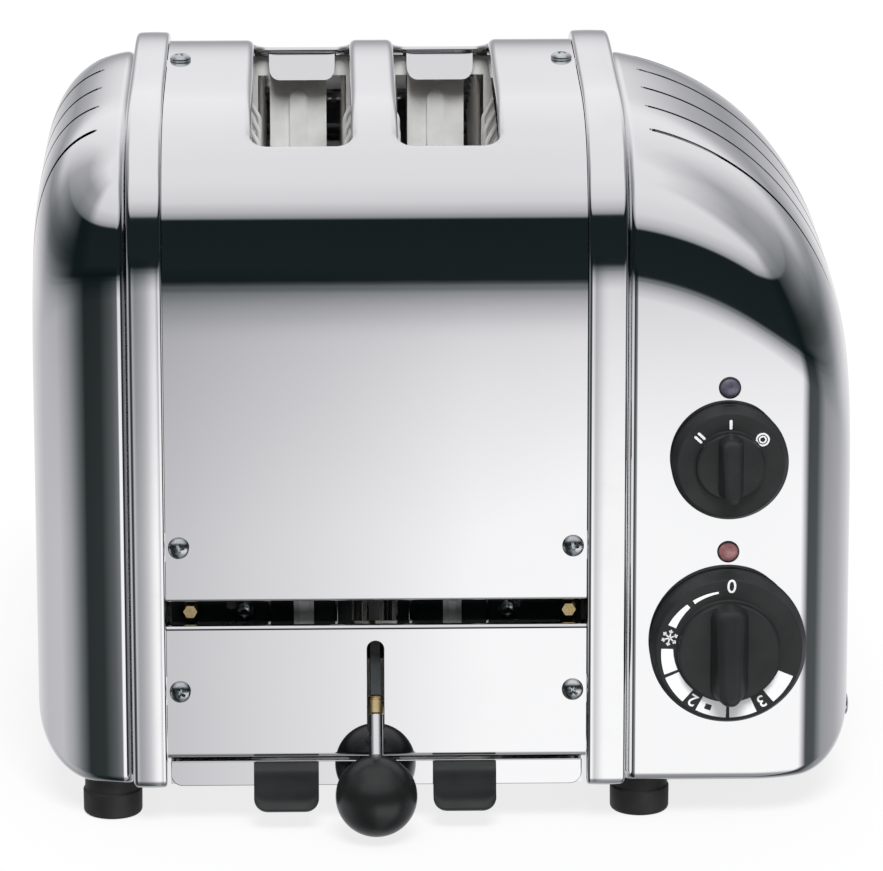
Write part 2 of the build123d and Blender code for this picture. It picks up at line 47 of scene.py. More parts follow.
# ------------------------------------------------------------ shared sizes, in millimetres
S = 0.001
YO = 13.0
B, Z1, TOP = 91.2, 152.3, 217.5
N_SH, M_SH = 5.0, 3.37
M_CAP = 2.5
SHEET = 0.9
XL, XR = -85.8, 42.8
FR_T, FR_T_R, FR_PROUD = 10.6, 12.0, 2.5
Z_BOT = 12.5
X_END_R, X_END_L = 125.3, 126.3
SLOTS = ((-58.7, -28.3), (-14.2, 16.4))
SLOT_Y = 71.8
SLOT_R = 4.8
GAP_TOP, GAP_BOT = 71.8, 64.3
PANEL_BOT = 21.2
X_MID = -21.85
LEVER_W, LEVER_Z0, LEVER_Z1 = 5.4, 29.0, 59.3
SLIT_Y = (-54, -27, 0, 27, 54)
SLIT_W = 2.4
CAP_T, CAP_B = 1.2, 90.0
KN_X, TIMER_Z, SELECT_Z = 85.9, 57.3, 115.6
LAMP_HI_Z, LAMP_LO_Z = 138.2, 86.5
G = 0.15


def v3(p):
    return Vector((p[0] * S, (p[1] + YO) * S, p[2] * S))


# ------------------------------------------------------------ materials
def new_mat(name):
    m = bpy.data.materials.new(name)
    m.use_nodes = True
    nt = m.node_tree
    bsdf = next(n for n in nt.nodes if n.type == "BSDF_PRINCIPLED")
    return m, nt, bsdf


def coords(nt, scale=(1, 1, 1)):
    tc = nt.nodes.new("ShaderNodeTexCoord")
    mp = nt.nodes.new("ShaderNodeMapping")
    mp.inputs["Scale"].default_value = scale
    nt.links.new(tc.outputs["Object"], mp.inputs["Vector"])
    return mp.outputs["Vector"]


def noise(nt, vec, scale, detail=4.0, rough=0.55):
    n = nt.nodes.new("ShaderNodeTexNoise")
    n.inputs["Scale"].default_value = scale
    n.inputs["Detail"].default_value = detail
    n.inputs["Roughness"].default_value = rough
    nt.links.new(vec, n.inputs["Vector"])
    return n.outputs["Fac"]


def remap(nt, fac, lo, hi, a=0.3, b=0.7):
    r = nt.nodes.new("ShaderNodeMapRange")
    r.inputs["From Min"].default_value = a
    r.inputs["From Max"].default_value = b
    r.inputs["To Min"].default_value = lo
    r.inputs["To Max"].default_value = hi
    nt.links.new(fac, r.inputs["Value"])
    return r.outputs["Result"]


def ramp2(nt, fac, c0, c1, a=0.35, b=0.65):
    r = nt.nodes.new("ShaderNodeValToRGB")
    r.color_ramp.elements[0].position = a
    r.color_ramp.elements[1].position = b
    r.color_ramp.elements[0].color = (*c0, 1)
    r.color_ramp.elements[1].color = (*c1, 1)
    nt.links.new(fac, r.inputs["Fac"])
    return r.outputs["Color"]


def bump(nt, bsdf, fac, strength, dist):
    b = nt.nodes.new("ShaderNodeBump")
    b.inputs["Strength"].default_value = strength
    b.inputs["Distance"].default_value = dist
    nt.links.new(fac, b.inputs["Height"])
    nt.links.new(b.outputs["Normal"], bsdf.inputs["Normal"])


def metal(name, c0, c1, r0, r1, big=9.0, stretch=(1, 1, 1), grain=900.0, bstr=0.03, bdist=0.00002):
    m, nt, bsdf = new_mat(name)
    bsdf.inputs["Metallic"].default_value = 1.0
    vec = coords(nt, stretch)
    n1 = noise(nt, vec, big, 3.0)
    nt.links.new(ramp2(nt, n1, c0, c1), bsdf.inputs["Base Color"])
    n2 = noise(nt, vec, big * 7, 6.0, 0.7)
    nt.links.new(remap(nt, n2, r0, r1), bsdf.inputs["Roughness"])
    n3 = noise(nt, vec, grain, 2.0)
    bump(nt, bsdf, n3, bstr, bdist)
    return m


def plastic(name, c0, c1, r0, r1, grain=1400.0, bstr=0.25, bdist=0.00005, spec=0.5):
    m, nt, bsdf = new_mat(name)
    vec = coords(nt)
    nt.links.new(ramp2(nt, noise(nt, vec, 60.0), c0, c1), bsdf.inputs["Base Color"])
    nt.links.new(remap(nt, noise(nt, vec, 140.0, 5.0), r0, r1), bsdf.inputs["Roughness"])
    bsdf.inputs["Specular IOR Level"].default_value = spec
    bump(nt, bsdf, noise(nt, vec, grain, 3.0), bstr, bdist)
    return m


STEEL = metal("polished_steel", (0.80, 0.80, 0.812), (0.835, 0.835, 0.845), 0.018, 0.042, big=6.0, grain=500.0, bstr=0.02, bdist=0.00001)
FRAME = metal("polished_frame", (0.81, 0.81, 0.82), (0.85, 0.85, 0.858), 0.04, 0.085, big=8.0, grain=700.0, bstr=0.03, bdist=0.00001)
INNER = metal("mill_steel", (0.42, 0.42, 0.41), (0.55, 0.55, 0.54), 0.30, 0.45, big=18.0, stretch=(1, 1, 0.15), grain=600.0, bstr=0.15, bdist=0.0001)
DARKST = metal("baffle_steel", (0.07, 0.078, 0.078), (0.13, 0.14, 0.14), 0.35, 0.5, big=20.0, grain=600.0, bstr=0.15, bdist=0.0001)
PLATE = plastic("satin_plate", (0.72, 0.73, 0.72), (0.90, 0.90, 0.89), 0.28, 0.42, grain=500.0, bstr=0.15, bdist=0.0001, spec=0.9)
GUARD = plastic("guard_wire", (0.72, 0.73, 0.73), (0.88, 0.88, 0.88), 0.16, 0.26, grain=900.0, bstr=0.05, spec=1.0)
WIRE = metal("drawn_wire", (0.66, 0.66, 0.67), (0.76, 0.76, 0.76), 0.12, 0.22, big=30.0, grain=900.0)
CHROME = metal("bright_chrome", (0.82, 0.82, 0.83), (0.86, 0.86, 0.87), 0.03, 0.07, big=20.0, grain=900.0, bstr=0.02)
SCREW = metal("plated_screw", (0.50, 0.54, 0.56), (0.68, 0.71, 0.72), 0.16, 0.30, big=220.0, grain=1500.0, bstr=0.2, bdist=0.00005)
BRASS = metal("turned_brass", (0.56, 0.42, 0.20), (0.70, 0.55, 0.29), 0.22, 0.36, big=150.0, grain=1500.0, bstr=0.2, bdist=0.00005)
BLACK = plastic("satin_black", (0.010, 0.012, 0.012), (0.016, 0.018, 0.018), 0.30, 0.42, bstr=0.12)
DIAL = plastic("dial_black", (0.012, 0.014, 0.014), (0.020, 0.022, 0.022), 0.42, 0.55, bstr=0.25)
BALLM = plastic("ball_black", (0.008, 0.009, 0.009), (0.012, 0.013, 0.013), 0.24, 0.33, bstr=0.05)
RUBBER = plastic("foot_rubber", (0.012, 0.012, 0.012), (0.022, 0.022, 0.021), 0.5, 0.68, bstr=0.3)
PRINT = plastic("white_print", (0.72, 0.74, 0.75), (0.90, 0.91, 0.92), 0.55, 0.7, grain=2500.0, bstr=0.2)
MICA = plastic("mica_board", (0.40, 0.33, 0.22), (0.58, 0.50, 0.37), 0.45, 0.6, grain=500.0)
WIND = metal("element_ribbon", (0.20, 0.18, 0.16), (0.32, 0.29, 0.26), 0.35, 0.5, big=80.0)
SWITCH = plastic("switch_body", (0.05, 0.05, 0.055), (0.08, 0.08, 0.085), 0.4, 0.55)
CERAM = plastic("terminal_white", (0.62, 0.60, 0.55), (0.74, 0.72, 0.68), 0.4, 0.55)


def lens(name, c0, c1):
    m, nt, bsdf = new_mat(name)
    vec = coords(nt)
    nt.links.new(ramp2(nt, noise(nt, vec, 420.0, 3.0), c0, c1), bsdf.inputs["Base Color"])
    nt.links.new(remap(nt, noise(nt, vec, 300.0), 0.12, 0.2), bsdf.inputs["Roughness"])
    bsdf.inputs["Coat Weight"].default_value = 0.4
    bsdf.inputs["Coat Roughness"].default_value = 0.08
    bump(nt, bsdf, noise(nt, vec, 900.0, 2.0), 0.1, 0.00005)
    return m


LENS_HI = lens("lens_smoked", (0.055, 0.05, 0.075), (0.10, 0.095, 0.125))
LENS_LO = lens("lens_rose", (0.22, 0.09, 0.095), (0.36, 0.17, 0.17))

CAD_MATS = {
    "bottom_plate_left": INNER, "bottom_plate_right": INNER, "base_plate": INNER,
    "chamber_plate_front": DARKST, "chamber_plate_rear": PLATE,
    "element_board_left": MICA, "element_board_middle": MICA, "element_board_right": MICA,
    "element_windings": WIND, "guard_wires_left": GUARD, "guard_wires_right": GUARD,
    "bread_rack_left": INNER, "bread_rack_right": INNER, "carriage_plate": INNER,
    "carriage_guide_rods": WIRE, "lever_arm": DARKST, "pivot_shaft": WIRE, "pivot_brackets": INNER,
    "timer_body": SWITCH, "selector_switch": SWITCH, "timer_shaft": WIRE, "selector_shaft": WIRE,
    "lamp_holders": SWITCH, "terminal_block": CERAM, "cord_gland": BLACK, "foot_screws": SCREW,
    "brass_pillars": BRASS, "upper_cover": STEEL, "lower_front_panel": STEEL, "lower_rear_panel": STEEL,
    "end_frame_left": FRAME, "end_frame_right": FRAME, "end_cover_left": STEEL, "end_cover_right": STEEL,
    "panel_screws": SCREW, "top_screws": SCREW, "end_cover_screws": SCREW, "crumb_tray": STEEL,
    "tray_grips": BLACK, "lever_ferrule": BRASS, "lever_rod": CHROME, "ball_knob": BALLM,
    "timer_knob": DIAL, "selector_knob": DIAL, "lamp_lens_upper": LENS_HI, "lamp_lens_lower": LENS_LO,
    "rubber_feet": RUBBER,
}
for nname, ob in NODES.items():
    mat = CAD_MATS.get(nname, INNER)
    if not ob.data.materials:
        ob.data.materials.append(mat)
    for i in range(len(ob.data.materials)):
        ob.data.materials[i] = mat

BODY_OF = {}
for bname, members in frame["record"]["behaviour"]["bodies"].items():
    for n_ in members:
        BODY_OF[n_] = bname


# ------------------------------------------------------------ mesh helpers
def make(name, verts, faces, mat, node=None, body=None, normal_fn=None, smooth=True, hide=()):
    me = bpy.data.meshes.new(name)
    me.from_pydata([v3(v) for v in verts], [], [tuple(f) for f in faces])
    me.validate()
    me.update()
    ob = bpy.data.objects.new(name, me)
    bpy.context.scene.collection.objects.link(ob)
    me.materials.append(mat)
    fix_out(me)
    for p in me.polygons:
        p.use_smooth = smooth
    if normal_fn:
        set_normals(ob, normal_fn)
    if node or body:
        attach(ob, body or BODY_OF[node])
    if node:
        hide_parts(node)
    return ob


def fix_out(me):
    bm = bmesh.new()
    bm.from_mesh(me)
    bmesh.ops.remove_doubles(bm, verts=bm.verts, dist=1e-7)
    bmesh.ops.recalc_face_normals(bm, faces=bm.faces)
    bm.to_mesh(me)
    bm.free()
    me.update()


def set_normals(ob, fn, dot=0.72):
    me = ob.data
    co = [((v.co.x / S), (v.co.y / S) - YO, v.co.z / S) for v in me.vertices]
    cache = {}
    out = [Vector((0, 0, 1))] * len(me.loops)
    for p in me.polygons:
        p.use_smooth = True
        fnrm = p.normal
        for li in p.loop_indices:
            vi = me.loops[li].vertex_index
            if vi not in cache:
                cache[vi] = Vector(fn(co[vi])).normalized()
            n = cache[vi]
            d = n.dot(fnrm)
            out[li] = n if d > dot else (-n if d < -dot else fnrm)
    me.normals_split_custom_set([tuple(n) for n in out])


def weighted(ob, angle=40):
    me = ob.data
    me.set_sharp_from_angle(angle=math.radians(angle))
    m = ob.modifiers.new("weighted", "WEIGHTED_NORMAL")
    m.keep_sharp = True
    m.weight = 80
    return ob


def boolean(ob, cutters, op="DIFFERENCE"):
    for c in cutters:
        md = ob.modifiers.new("cut", "BOOLEAN")
        md.operation = op
        md.solver = "EXACT"
        md.object = c
    bpy.context.view_layer.update()
    dg = bpy.context.evaluated_depsgraph_get()
    me = bpy.data.meshes.new_from_object(ob.evaluated_get(dg))
    ob.modifiers.clear()
    old = ob.data
    ob.data = me
    bpy.data.meshes.remove(old)
    for c in cutters:
        bpy.data.objects.remove(c)
    return ob


def box_data(x0, x1, y0, y1, z0, z1):
    v = [(x0, y0, z0), (x1, y0, z0), (x1, y1, z0), (x0, y1, z0), (x0, y0, z1), (x1, y0, z1), (x1, y1, z1), (x0, y1, z1)]
    f = [(0, 3, 2, 1), (4, 5, 6, 7), (0, 1, 5, 4), (1, 2, 6, 5), (2, 3, 7, 6), (3, 0, 4, 7)]
    return v, f


def merge(parts):
    vs, fs = [], []
    for v, f in parts:
        o = len(vs)
        vs += list(v)
        fs += [tuple(i + o for i in g) for g in f]
    return vs, fs


def raw(name, verts, faces):
    me = bpy.data.meshes.new(name)
    me.from_pydata([v3(v) for v in verts], [], [tuple(f) for f in faces])
    me.update()
    ob = bpy.data.objects.new(name, me)
    bpy.context.scene.collection.objects.link(ob)
    fix_out(me)
    return ob


def rounded_rect(hw, hh, r, seg=10):
    pts, nrm = [], []
    for cx, cy, a0 in ((hw - r, hh - r, 0), (-hw + r, hh - r, 90), (-hw + r, -hh + r, 180), (hw - r, -hh + r, 270)):
        for i in range(seg + 1):
            a = math.radians(a0 + 90 * i / seg)
            pts.append((cx + r * math.cos(a), cy + r * math.sin(a)))
            nrm.append((math.cos(a), math.sin(a)))
    return pts, nrm


def prism_xy(pts, z0, z1):
    n = len(pts)
    v = [(p[0], p[1], z0) for p in pts] + [(p[0], p[1], z1) for p in pts]
    f = [tuple(reversed(range(n))), tuple(range(n, 2 * n))] + [(i, (i + 1) % n, n + (i + 1) % n, n + i) for i in range(n)]
    return v, f


def prism_xz(pts, y0, y1):
    n = len(pts)
    v = [(p[0], y0, p[1]) for p in pts] + [(p[0], y1, p[1]) for p in pts]
    f = [tuple(range(n)), tuple(reversed(range(n, 2 * n)))] + [(i, n + i, n + (i + 1) % n, (i + 1) % n) for i in range(n)]
    return v, f


def lathe(axis_o, axis_d, prof, seg=64, up=(1, 0, 0)):
    """prof: (radius, distance along the axis); ends on the axis are closed."""
    d = Vector(axis_d).normalized()
    u = Vector(up)
    u = (u - d * u.dot(d)).normalized()
    w = d.cross(u)
    o = Vector(axis_o)
    verts, faces, rings = [], [], []
    for r, t in prof:
        if r < 1e-6:
            rings.append([len(verts)])
            verts.append(tuple(o + d * t))
        else:
            ring = []
            for i in range(seg):
                a = 2 * math.pi * i / seg
                ring.append(len(verts))
                verts.append(tuple(o + d * t + (u * math.cos(a) + w * math.sin(a)) * r))
            rings.append(ring)
    for a, b in zip(rings, rings[1:]):
        if len(a) == 1 and len(b) == 1:
            continue
        for i in range(seg):
            j = (i + 1) % seg
            if len(a) == 1:
                faces.append((a[0], b[j], b[i]))
            elif len(b) == 1:
                faces.append((a[i], a[j], b[0]))
            else:
                faces.append((a[i], a[j], b[j], b[i]))
    return verts, faces


def arc_pts(cx, cy, r, a0, a1, n):
    return [(cx + r * math.cos(math.radians(a0 + (a1 - a0) * i / n)), cy + r * math.sin(math.radians(a0 + (a1 - a0) * i / n))) for i in range(n + 1)]


# ------------------------------------------------------------ shoulder profile
def quarter(b, z1, h, count, m=M_SH):
    a = np.linspace(0, math.pi / 2, 3001)
    y = np.cos(a).clip(0) ** (2 / N_SH)
    z = np.sin(a) ** (2 / m)
    P = np.stack([-b * y, z1 + h * z], 1)
    L = np.concatenate([[0], np.cumsum(np.hypot(*np.diff(P, axis=0).T))])
    want = np.linspace(0, L[-1], count)
    out = np.stack([np.interp(want, L, P[:, 0]), np.interp(want, L, P[:, 1])], 1)
    out[0] = (-b, z1)
    out[-1] = (0, z1 + h)
    return out


def surf_n(y, z, b=B, z1=Z1, h=TOP - Z1):
    if z <= z1:
        return (-1.0 if y < 0 else 1.0, 0.0)
    ny = N_SH * (min(abs(y) / b, 1.2)) ** (N_SH - 1) / b * (-1 if y < 0 else 1)
    nz = M_SH * ((z - z1) / h) ** (M_SH - 1) / h
    k = math.hypot(ny, nz)
    return (ny / k, nz / k)


def cover_z(y):
    return Z1 + (TOP - Z1) * max(1 - (abs(y) / B) ** N_SH, 0) ** (1 / M_SH)


def profile_path(zb, count=70, nv=8):
    q = quarter(B, Z1, TOP - Z1, count)
    front = [(-B, z) for z in np.linspace(zb, Z1, nv)[:-1]] + [tuple(p) for p in q]
    rear = [(-p[0], p[1]) for p in reversed(front[:-1])]
    return front + rear


def shell_grid(rows, inner):
    """rows, inner: equal lists of point rows (outer and inner surface); closed all round."""
    nr, nc = len(rows), len(rows[0])
    verts = [p for r in rows for p in r] + [p for r in inner for p in r]
    o = nr * nc
    faces = []
    for i in range(nr - 1):
        for j in range(nc - 1):
            a, b, c, d = i * nc + j, i * nc + j + 1, (i + 1) * nc + j + 1, (i + 1) * nc + j
            faces.append((a, b, c, d))
            faces.append((o + a, o + d, o + c, o + b))
    for j in range(nc - 1):
        faces.append((j, o + j, o + j + 1, j + 1))
        k = (nr - 1) * nc
        faces.append((k + j, k + j + 1, o + k + j + 1, o + k + j))
    for i in range(nr - 1):
        a, b = i * nc, (i + 1) * nc
        faces.append((a, b, o + b, o + a))
        a, b = i * nc + nc - 1, (i + 1) * nc + nc - 1
        faces.append((a, o + a, o + b, b))
    return verts, faces


# ------------------------------------------------------------ upper cover with rolled slot edges
ROLL = 2.3
path = []
for t, z in ((-1, GAP_TOP),):
    r = 1.2
    path += [(-B + 5.0, GAP_TOP), (-B + 3.0, GAP_TOP)]
    path += [(-B + r + r * math.cos(math.radians(a)), GAP_TOP + r + r * math.sin(math.radians(a))) for a in (270, 255, 240, 225, 210, 195, 180)]
front_half = path + [p for p in profile_path(GAP_TOP + 1.2)[1:]]
mid = len(front_half)
full = front_half[: path.__len__()]
body_pts = profile_path(GAP_TOP + 1.2)
full = path[:-1] + body_pts + [(-p[0], p[1]) for p in reversed(path[:-1])]
full_n = []
for i, p in enumerate(full):
    if abs(p[0]) > B - 1.3 and p[1] < GAP_TOP + 1.3 and abs(p[0]) < B or p[1] <= GAP_TOP + 1e-6:
        s = -1 if p[0] < 0 else 1
        if abs(p[0]) < B - 1.2 + 1e-6:
            full_n.append((0.0, -1.0))
        else:
            v = ((abs(p[0]) - (B - 1.2)) / 1.2 * s, (p[1] - (GAP_TOP + 1.2)) / 1.2)
            k = math.hypot(*v)
            full_n.append((v[0] / k, v[1] / k))
    else:
        full_n.append(surf_n(*p))
xs = [XL + G] + list(np.linspace(XL + 2, XR - 2, 22)) + [XR - G]
rows = [[(x, p[0], p[1]) for p in full] for x in xs]
inner = [[(x, p[0] - n[0] * SHEET, p[1] - n[1] * SHEET) for p, n in zip(full, full_n)] for x in xs]
kd = KDTree(len(full))
for i, p in enumerate(full):
    kd.insert((0, p[0], p[1]), i)
kd.balance()


def cover_n(p):
    if p[2] > GAP_TOP + 1.25:
        n = surf_n(p[1], p[2])
        return (0, n[0], n[1])
    _, i, _ = kd.find((0, p[1], p[2]))
    return (0, *full_n[i])


v, f = shell_grid(rows, inner)
cover = raw("upper_cover_sheet", v, f)
cuts = []
for x0, x1 in SLOTS:
    pts, _ = rounded_rect((x1 - x0) / 2 + ROLL, SLOT_Y + ROLL, SLOT_R + ROLL, 14)
    xm = (x0 + x1) / 2
    cuts.append(raw("c", *prism_xy([(xm + a, b) for a, b in pts], 150, 240)))
boolean(cover, cuts)
fix_out(cover.data)
cover.data.materials.clear()
cover.data.materials.append(STEEL)
set_normals(cover, cover_n)
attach(cover, "housing")
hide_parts("upper_cover")


def lip_depth(dx, dy, half):
    """how far the turned-down lip reaches at a point of the slot outline"""
    at_end = abs(dy) > SLOT_Y - 0.3
    if at_end:
        t = 10.6
        if abs(dx) <= t - 3.4:
            return 10.6
        if abs(dx) <= t:
            e = abs(dx) - (t - 3.4)
            return 10.6 - 3.4 + math.sqrt(max(3.4 ** 2 - e * e, 0))
        return 2.6
    if abs(dy) > SLOT_Y - 5.4:
        return 2.6
    if abs(dy) > SLOT_Y - 7.8:
        e = (SLOT_Y - 5.4 - abs(dy)) / 2.4
        return 2.6 + 5.0 * math.sqrt(max(1 - (1 - e) ** 2, 0))
    return 7.6


for si, (x0, x1) in enumerate(SLOTS):
    xm, hw = (x0 + x1) / 2, (x1 - x0) / 2
    base, nr = rounded_rect(hw, SLOT_Y, SLOT_R, 12)
    # refine the straight runs
    pts, nrm = [], []
    m = len(base)
    for i in range(m):
        p, q, n0, n1 = base[i], base[(i + 1) % m], nr[i], nr[(i + 1) % m]
        L = math.hypot(q[0] - p[0], q[1] - p[1])
        k = max(1, int(L / 0.8)) if L > 3 else 1
        for j in range(k):
            pts.append((p[0] + (q[0] - p[0]) * j / k, p[1] + (q[1] - p[1]) * j / k))
            nrm.append(n0)
    rings_o = []
    for k in range(9):
        a = math.pi / 2 * k / 8
        rings_o.append([(xm + p[0] + n[0] * ROLL * (1 - math.sin(a)), p[1] + n[1] * ROLL * (1 - math.sin(a)),
                         cover_z(p[1] + n[1] * ROLL * (1 - math.sin(a))) - ROLL * (1 - math.cos(a))) for p, n in zip(pts, nrm)])
    for frac in (0.15, 0.4, 0.7, 1.0):
        ring = []
        for p, n in zip(pts, nrm):
            drop = (lip_depth(p[0], p[1], hw) - ROLL) * frac
            lean = drop * 0.56 if abs(p[1]) > SLOT_Y - 0.3 else 0.0
            ring.append((xm + p[0], p[1] - math.copysign(lean, p[1]), cover_z(p[1]) - ROLL - drop))
        rings_o.append(ring)
    rings_i = [[(r[i][0] + nrm[i][0] * 0.8 * min(1, 0.15 + k / 8), r[i][1] + nrm[i][1] * 0.8 * min(1, 0.15 + k / 8), r[i][2] - 0.8 * max(0, 1 - k / 8)) for i in range(len(pts))] for k, r in enumerate(rings_o)]
    loop = rings_o + list(reversed(rings_i))
    nn = len(pts)
    verts = [p for r in loop for p in r]
    faces = []
    for a in range(len(loop)):
        b = (a + 1) % len(loop)
        for i in range(nn):
            j = (i + 1) % nn
            faces.append((a * nn + i, a * nn + j, b * nn + j, b * nn + i))
    lip = make(f"slot_lip_{si}", verts, faces, STEEL, body="housing")
    nk = KDTree(13 * nn)
    lipn = []
    for k in range(9):
        a = math.pi / 2 * k / 8
        for i in range(nn):
            cy, cz = surf_n(rings_o[k][i][1], cover_z(rings_o[k][i][1]))
            nv_ = Vector((-nrm[i][0] * math.sin(a), -nrm[i][1] * math.sin(a) + cy * math.cos(a), cz * math.cos(a)))
            nk.insert(rings_o[k][i], len(lipn))
            lipn.append(nv_.normalized())
    for k in range(9, 13):
        for i in range(nn):
            tilt = 0.515 if abs(pts[i][1]) > SLOT_Y - 0.3 and abs(pts[i][0]) < 11 else 0.0
            nk.insert(rings_o[k][i], len(lipn))
            lipn.append(Vector((-nrm[i][0] * math.cos(tilt), -nrm[i][1] * math.cos(tilt), math.sin(tilt))))
    nk.balance()
    set_normals(lip, lambda p: lipn[nk.find(p)[1]], dot=0.55)

# ------------------------------------------------------------ lower panels
def panel(name, node, t, with_slot):
    r1, r2 = 1.5, 2.4
    pth = [(-B + 4.4, GAP_BOT), (-B + 3.0, GAP_BOT)]
    pn = [(0, 1), (0, 1)]
    for a in np.linspace(90, 180, 9):
        c, s = math.cos(math.radians(a)), math.sin(math.radians(a))
        pth.append((-B + r1 + r1 * c, GAP_BOT - r1 + r1 * s))
        pn.append((c, s))
    for z in np.linspace(GAP_BOT - r1, PANEL_BOT + r2, 7)[1:-1]:
        pth.append((-B, z))
        pn.append((-1, 0))
    for a in np.linspace(180, 270, 9):
        c, s = math.cos(math.radians(a)), math.sin(math.radians(a))
        pth.append((-B + r2 + r2 * c, PANEL_BOT + r2 + r2 * s))
        pn.append((c, s))
    pth.append((-B + 5.4, PANEL_BOT))
    pn.append((0, -1))
    xs = [XL + G] + list(np.linspace(XL + 3, XR - 3, 12)) + [XR - G]
    rows = [[(x, -t * p[0], p[1]) for p in pth] for x in xs]
    inn = [[(x, -t * (p[0] - n[0] * SHEET), p[1] - n[1] * SHEET) for p, n in zip(pth, pn)] for x in xs]
    kk = KDTree(len(pth))
    for i, p in enumerate(pth):
        kk.insert((0, -t * p[0], p[1]), i)
    kk.balance()
    ob = raw(name, *shell_grid(rows, inn))
    if with_slot:
        r = LEVER_W / 2
        pts = arc_pts(X_MID, LEVER_Z1 - r, r, 0, 180, 16) + arc_pts(X_MID, LEVER_Z0 + r, r, 180, 360, 16)
        boolean(ob, [raw("c", *prism_xz(pts, -B - 3, -B + 3))])
        fix_out(ob.data)
    ob.data.materials.clear()
    ob.data.materials.append(STEEL)

    def fn(p):
        if PANEL_BOT + r2 < p[2] < GAP_BOT - r1:
            return (0, t, 0)
        n = pn[kk.find((0, p[1], p[2]))[1]]
        return (0, -t * n[0], n[1])

    set_normals(ob, fn)
    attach(ob, "housing")
    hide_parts(node)


panel("lower_front_panel_sheet", "lower_front_panel", -1, True)
panel("lower_rear_panel_sheet", "lower_rear_panel", 1, False)


# ------------------------------------------------------------ end frames
def frame_piece(name, node, x_in, thick, s):
    fb, fz, fh, fm, rb = B + FR_PROUD, 170.0, TOP + FR_PROUD - 170.0, 2.5, 3.2
    a = np.linspace(0, math.pi / 2, 3001)
    C = np.stack([-fb * np.cos(a).clip(0) ** (2 / N_SH), fz + fh * np.sin(a) ** (2 / fm)], 1)
    L = np.concatenate([[0], np.cumsum(np.hypot(*np.diff(C, axis=0).T))])
    want = np.linspace(0, L[-1], 90)
    q = list(zip(np.interp(want, L, C[:, 0]), np.interp(want, L, C[:, 1])))
    q[0], q[-1] = (-fb, fz), (0.0, TOP + FR_PROUD)
    P, Nn = [], []
    for t in np.linspace(90, 0, 9):
        c, w = math.cos(math.radians(t)), math.sin(math.radians(t))
        P.append((-fb + rb - rb * c, Z_BOT + rb - rb * w))
        Nn.append((-c, -w))
    for z in np.linspace(Z_BOT + rb, fz, 14)[1:-1]:
        P.append((-fb, z))
        Nn.append((-1.0, 0.0))
    for y, z in q:
        ny = -N_SH * (abs(y) / fb) ** (N_SH - 1) / fb
        nz = fm * (max(z - fz, 0) / fh) ** (fm - 1) / fh
        k = math.hypot(ny, nz)
        P.append((y, z))
        Nn.append((ny / k, nz / k))
    P += [(-p[0], p[1]) for p in reversed(P[:-1])]
    Nn += [(-n[0], n[1]) for n in reversed(Nn[:-1])]
    P = [(p[0] - n[0] * FR_PROUD, p[1] - n[1] * FR_PROUD) for p, n in zip(P, Nn)]
    r1, r2, top, low = 1.2, 1.6, FR_PROUD, -6.5
    cs = [(0, low, -1, 0), (0, top - r1, -1, 0)]
    for a in np.linspace(180, 90, 7)[1:]:
        c, q = math.cos(math.radians(a)), math.sin(math.radians(a))
        cs.append((r1 + r1 * c, top - r1 + r1 * q, c, q))
    for u in np.linspace(-1, 1, 9)[1:-1]:
        tilt = u * 0.045
        cs.append(((r1 + thick - r2) / 2 + u * (thick - r1 - r2) / 2, top + 0.12 * (1 - u * u), math.sin(tilt), math.cos(tilt)))
    for a in np.linspace(90, 0, 8):
        c, q = math.cos(math.radians(a)), math.sin(math.radians(a))
        cs.append((thick - r2 + r2 * c, top - r2 + r2 * q, c, q))
    cs.append((thick, low, 1, 0))
    verts, key = [], {}
    for p, n in zip(P, Nn):
        for dx, off, nx, nq in cs:
            if n[1] < -0.01:
                off = max(off, FR_PROUD - rb + 0.3)
            pos = (x_in + s * dx, p[0] + n[0] * off, p[1] + n[1] * off)
            key[len(verts)] = (s * nx, n[0] * nq, n[1] * nq)
            verts.append(pos)
    nc = len(cs)
    faces = []
    for i in range(len(P) - 1):
        for j in range(nc):
            k = (j + 1) % nc
            faces.append((i * nc + j, i * nc + k, (i + 1) * nc + k, (i + 1) * nc + j))
    faces.append(tuple(range(nc)))
    faces.append(tuple(range((len(P) - 1) * nc, len(P) * nc)))
    kk = KDTree(len(verts))
    for i, p in enumerate(verts):
        kk.insert(p, i)
    kk.balance()
    # web with its window, and the lugs for the panel screws
    poly = [(p[0] - n[0] * 6.4, p[1] - n[1] * 6.4) for p, n in zip(P, Nn) if n[1] > -0.01][::3]
    n_ = len(poly)
    xa, xb = x_in, x_in + s * 2.2
    wv = [(xa, a, b) for a, b in poly] + [(xb, a, b) for a, b in poly]
    wf = [tuple(range(n_)), tuple(reversed(range(n_, 2 * n_)))] + [(i, n_ + i, n_ + (i + 1) % n_, (i + 1) % n_) for i in range(n_)]
    web = raw("web", wv, wf)
    boolean(web, [raw("c", *box_data(min(xa, xb) - 3, max(xa, xb) + 3, -45, 45, 34, 52))])
    wv = [((q.co.x / S), q.co.y / S - YO, q.co.z / S) for q in web.data.vertices]
    wf = [tuple(q.vertices) for q in web.data.polygons]
    bpy.data.objects.remove(web)
    parts = [(verts, faces), (wv, wf)]
    lx = sorted((x_in, x_in - s * 8.2))
    for t in (-1, 1):
        ya, yb = sorted((t * (B - SHEET - 0.05), t * (B - 10.5)))
        for z in (89.1, 43.3):
            parts.append(box_data(lx[0], lx[1], ya, yb, z - 4.5, z + 4.5))
    parts.append(box_data(lx[0], lx[1], 13, 23, 205, TOP - SHEET - 0.12))
    v, f = merge(parts)

    def fn(p):
        c, i, d = kk.find(p)
        return key[i] if d < 0.01 else (0, 0, 1)

    me = make(name, v, f, FRAME, node=node)
    set_normals(me, fn, dot=0.8)


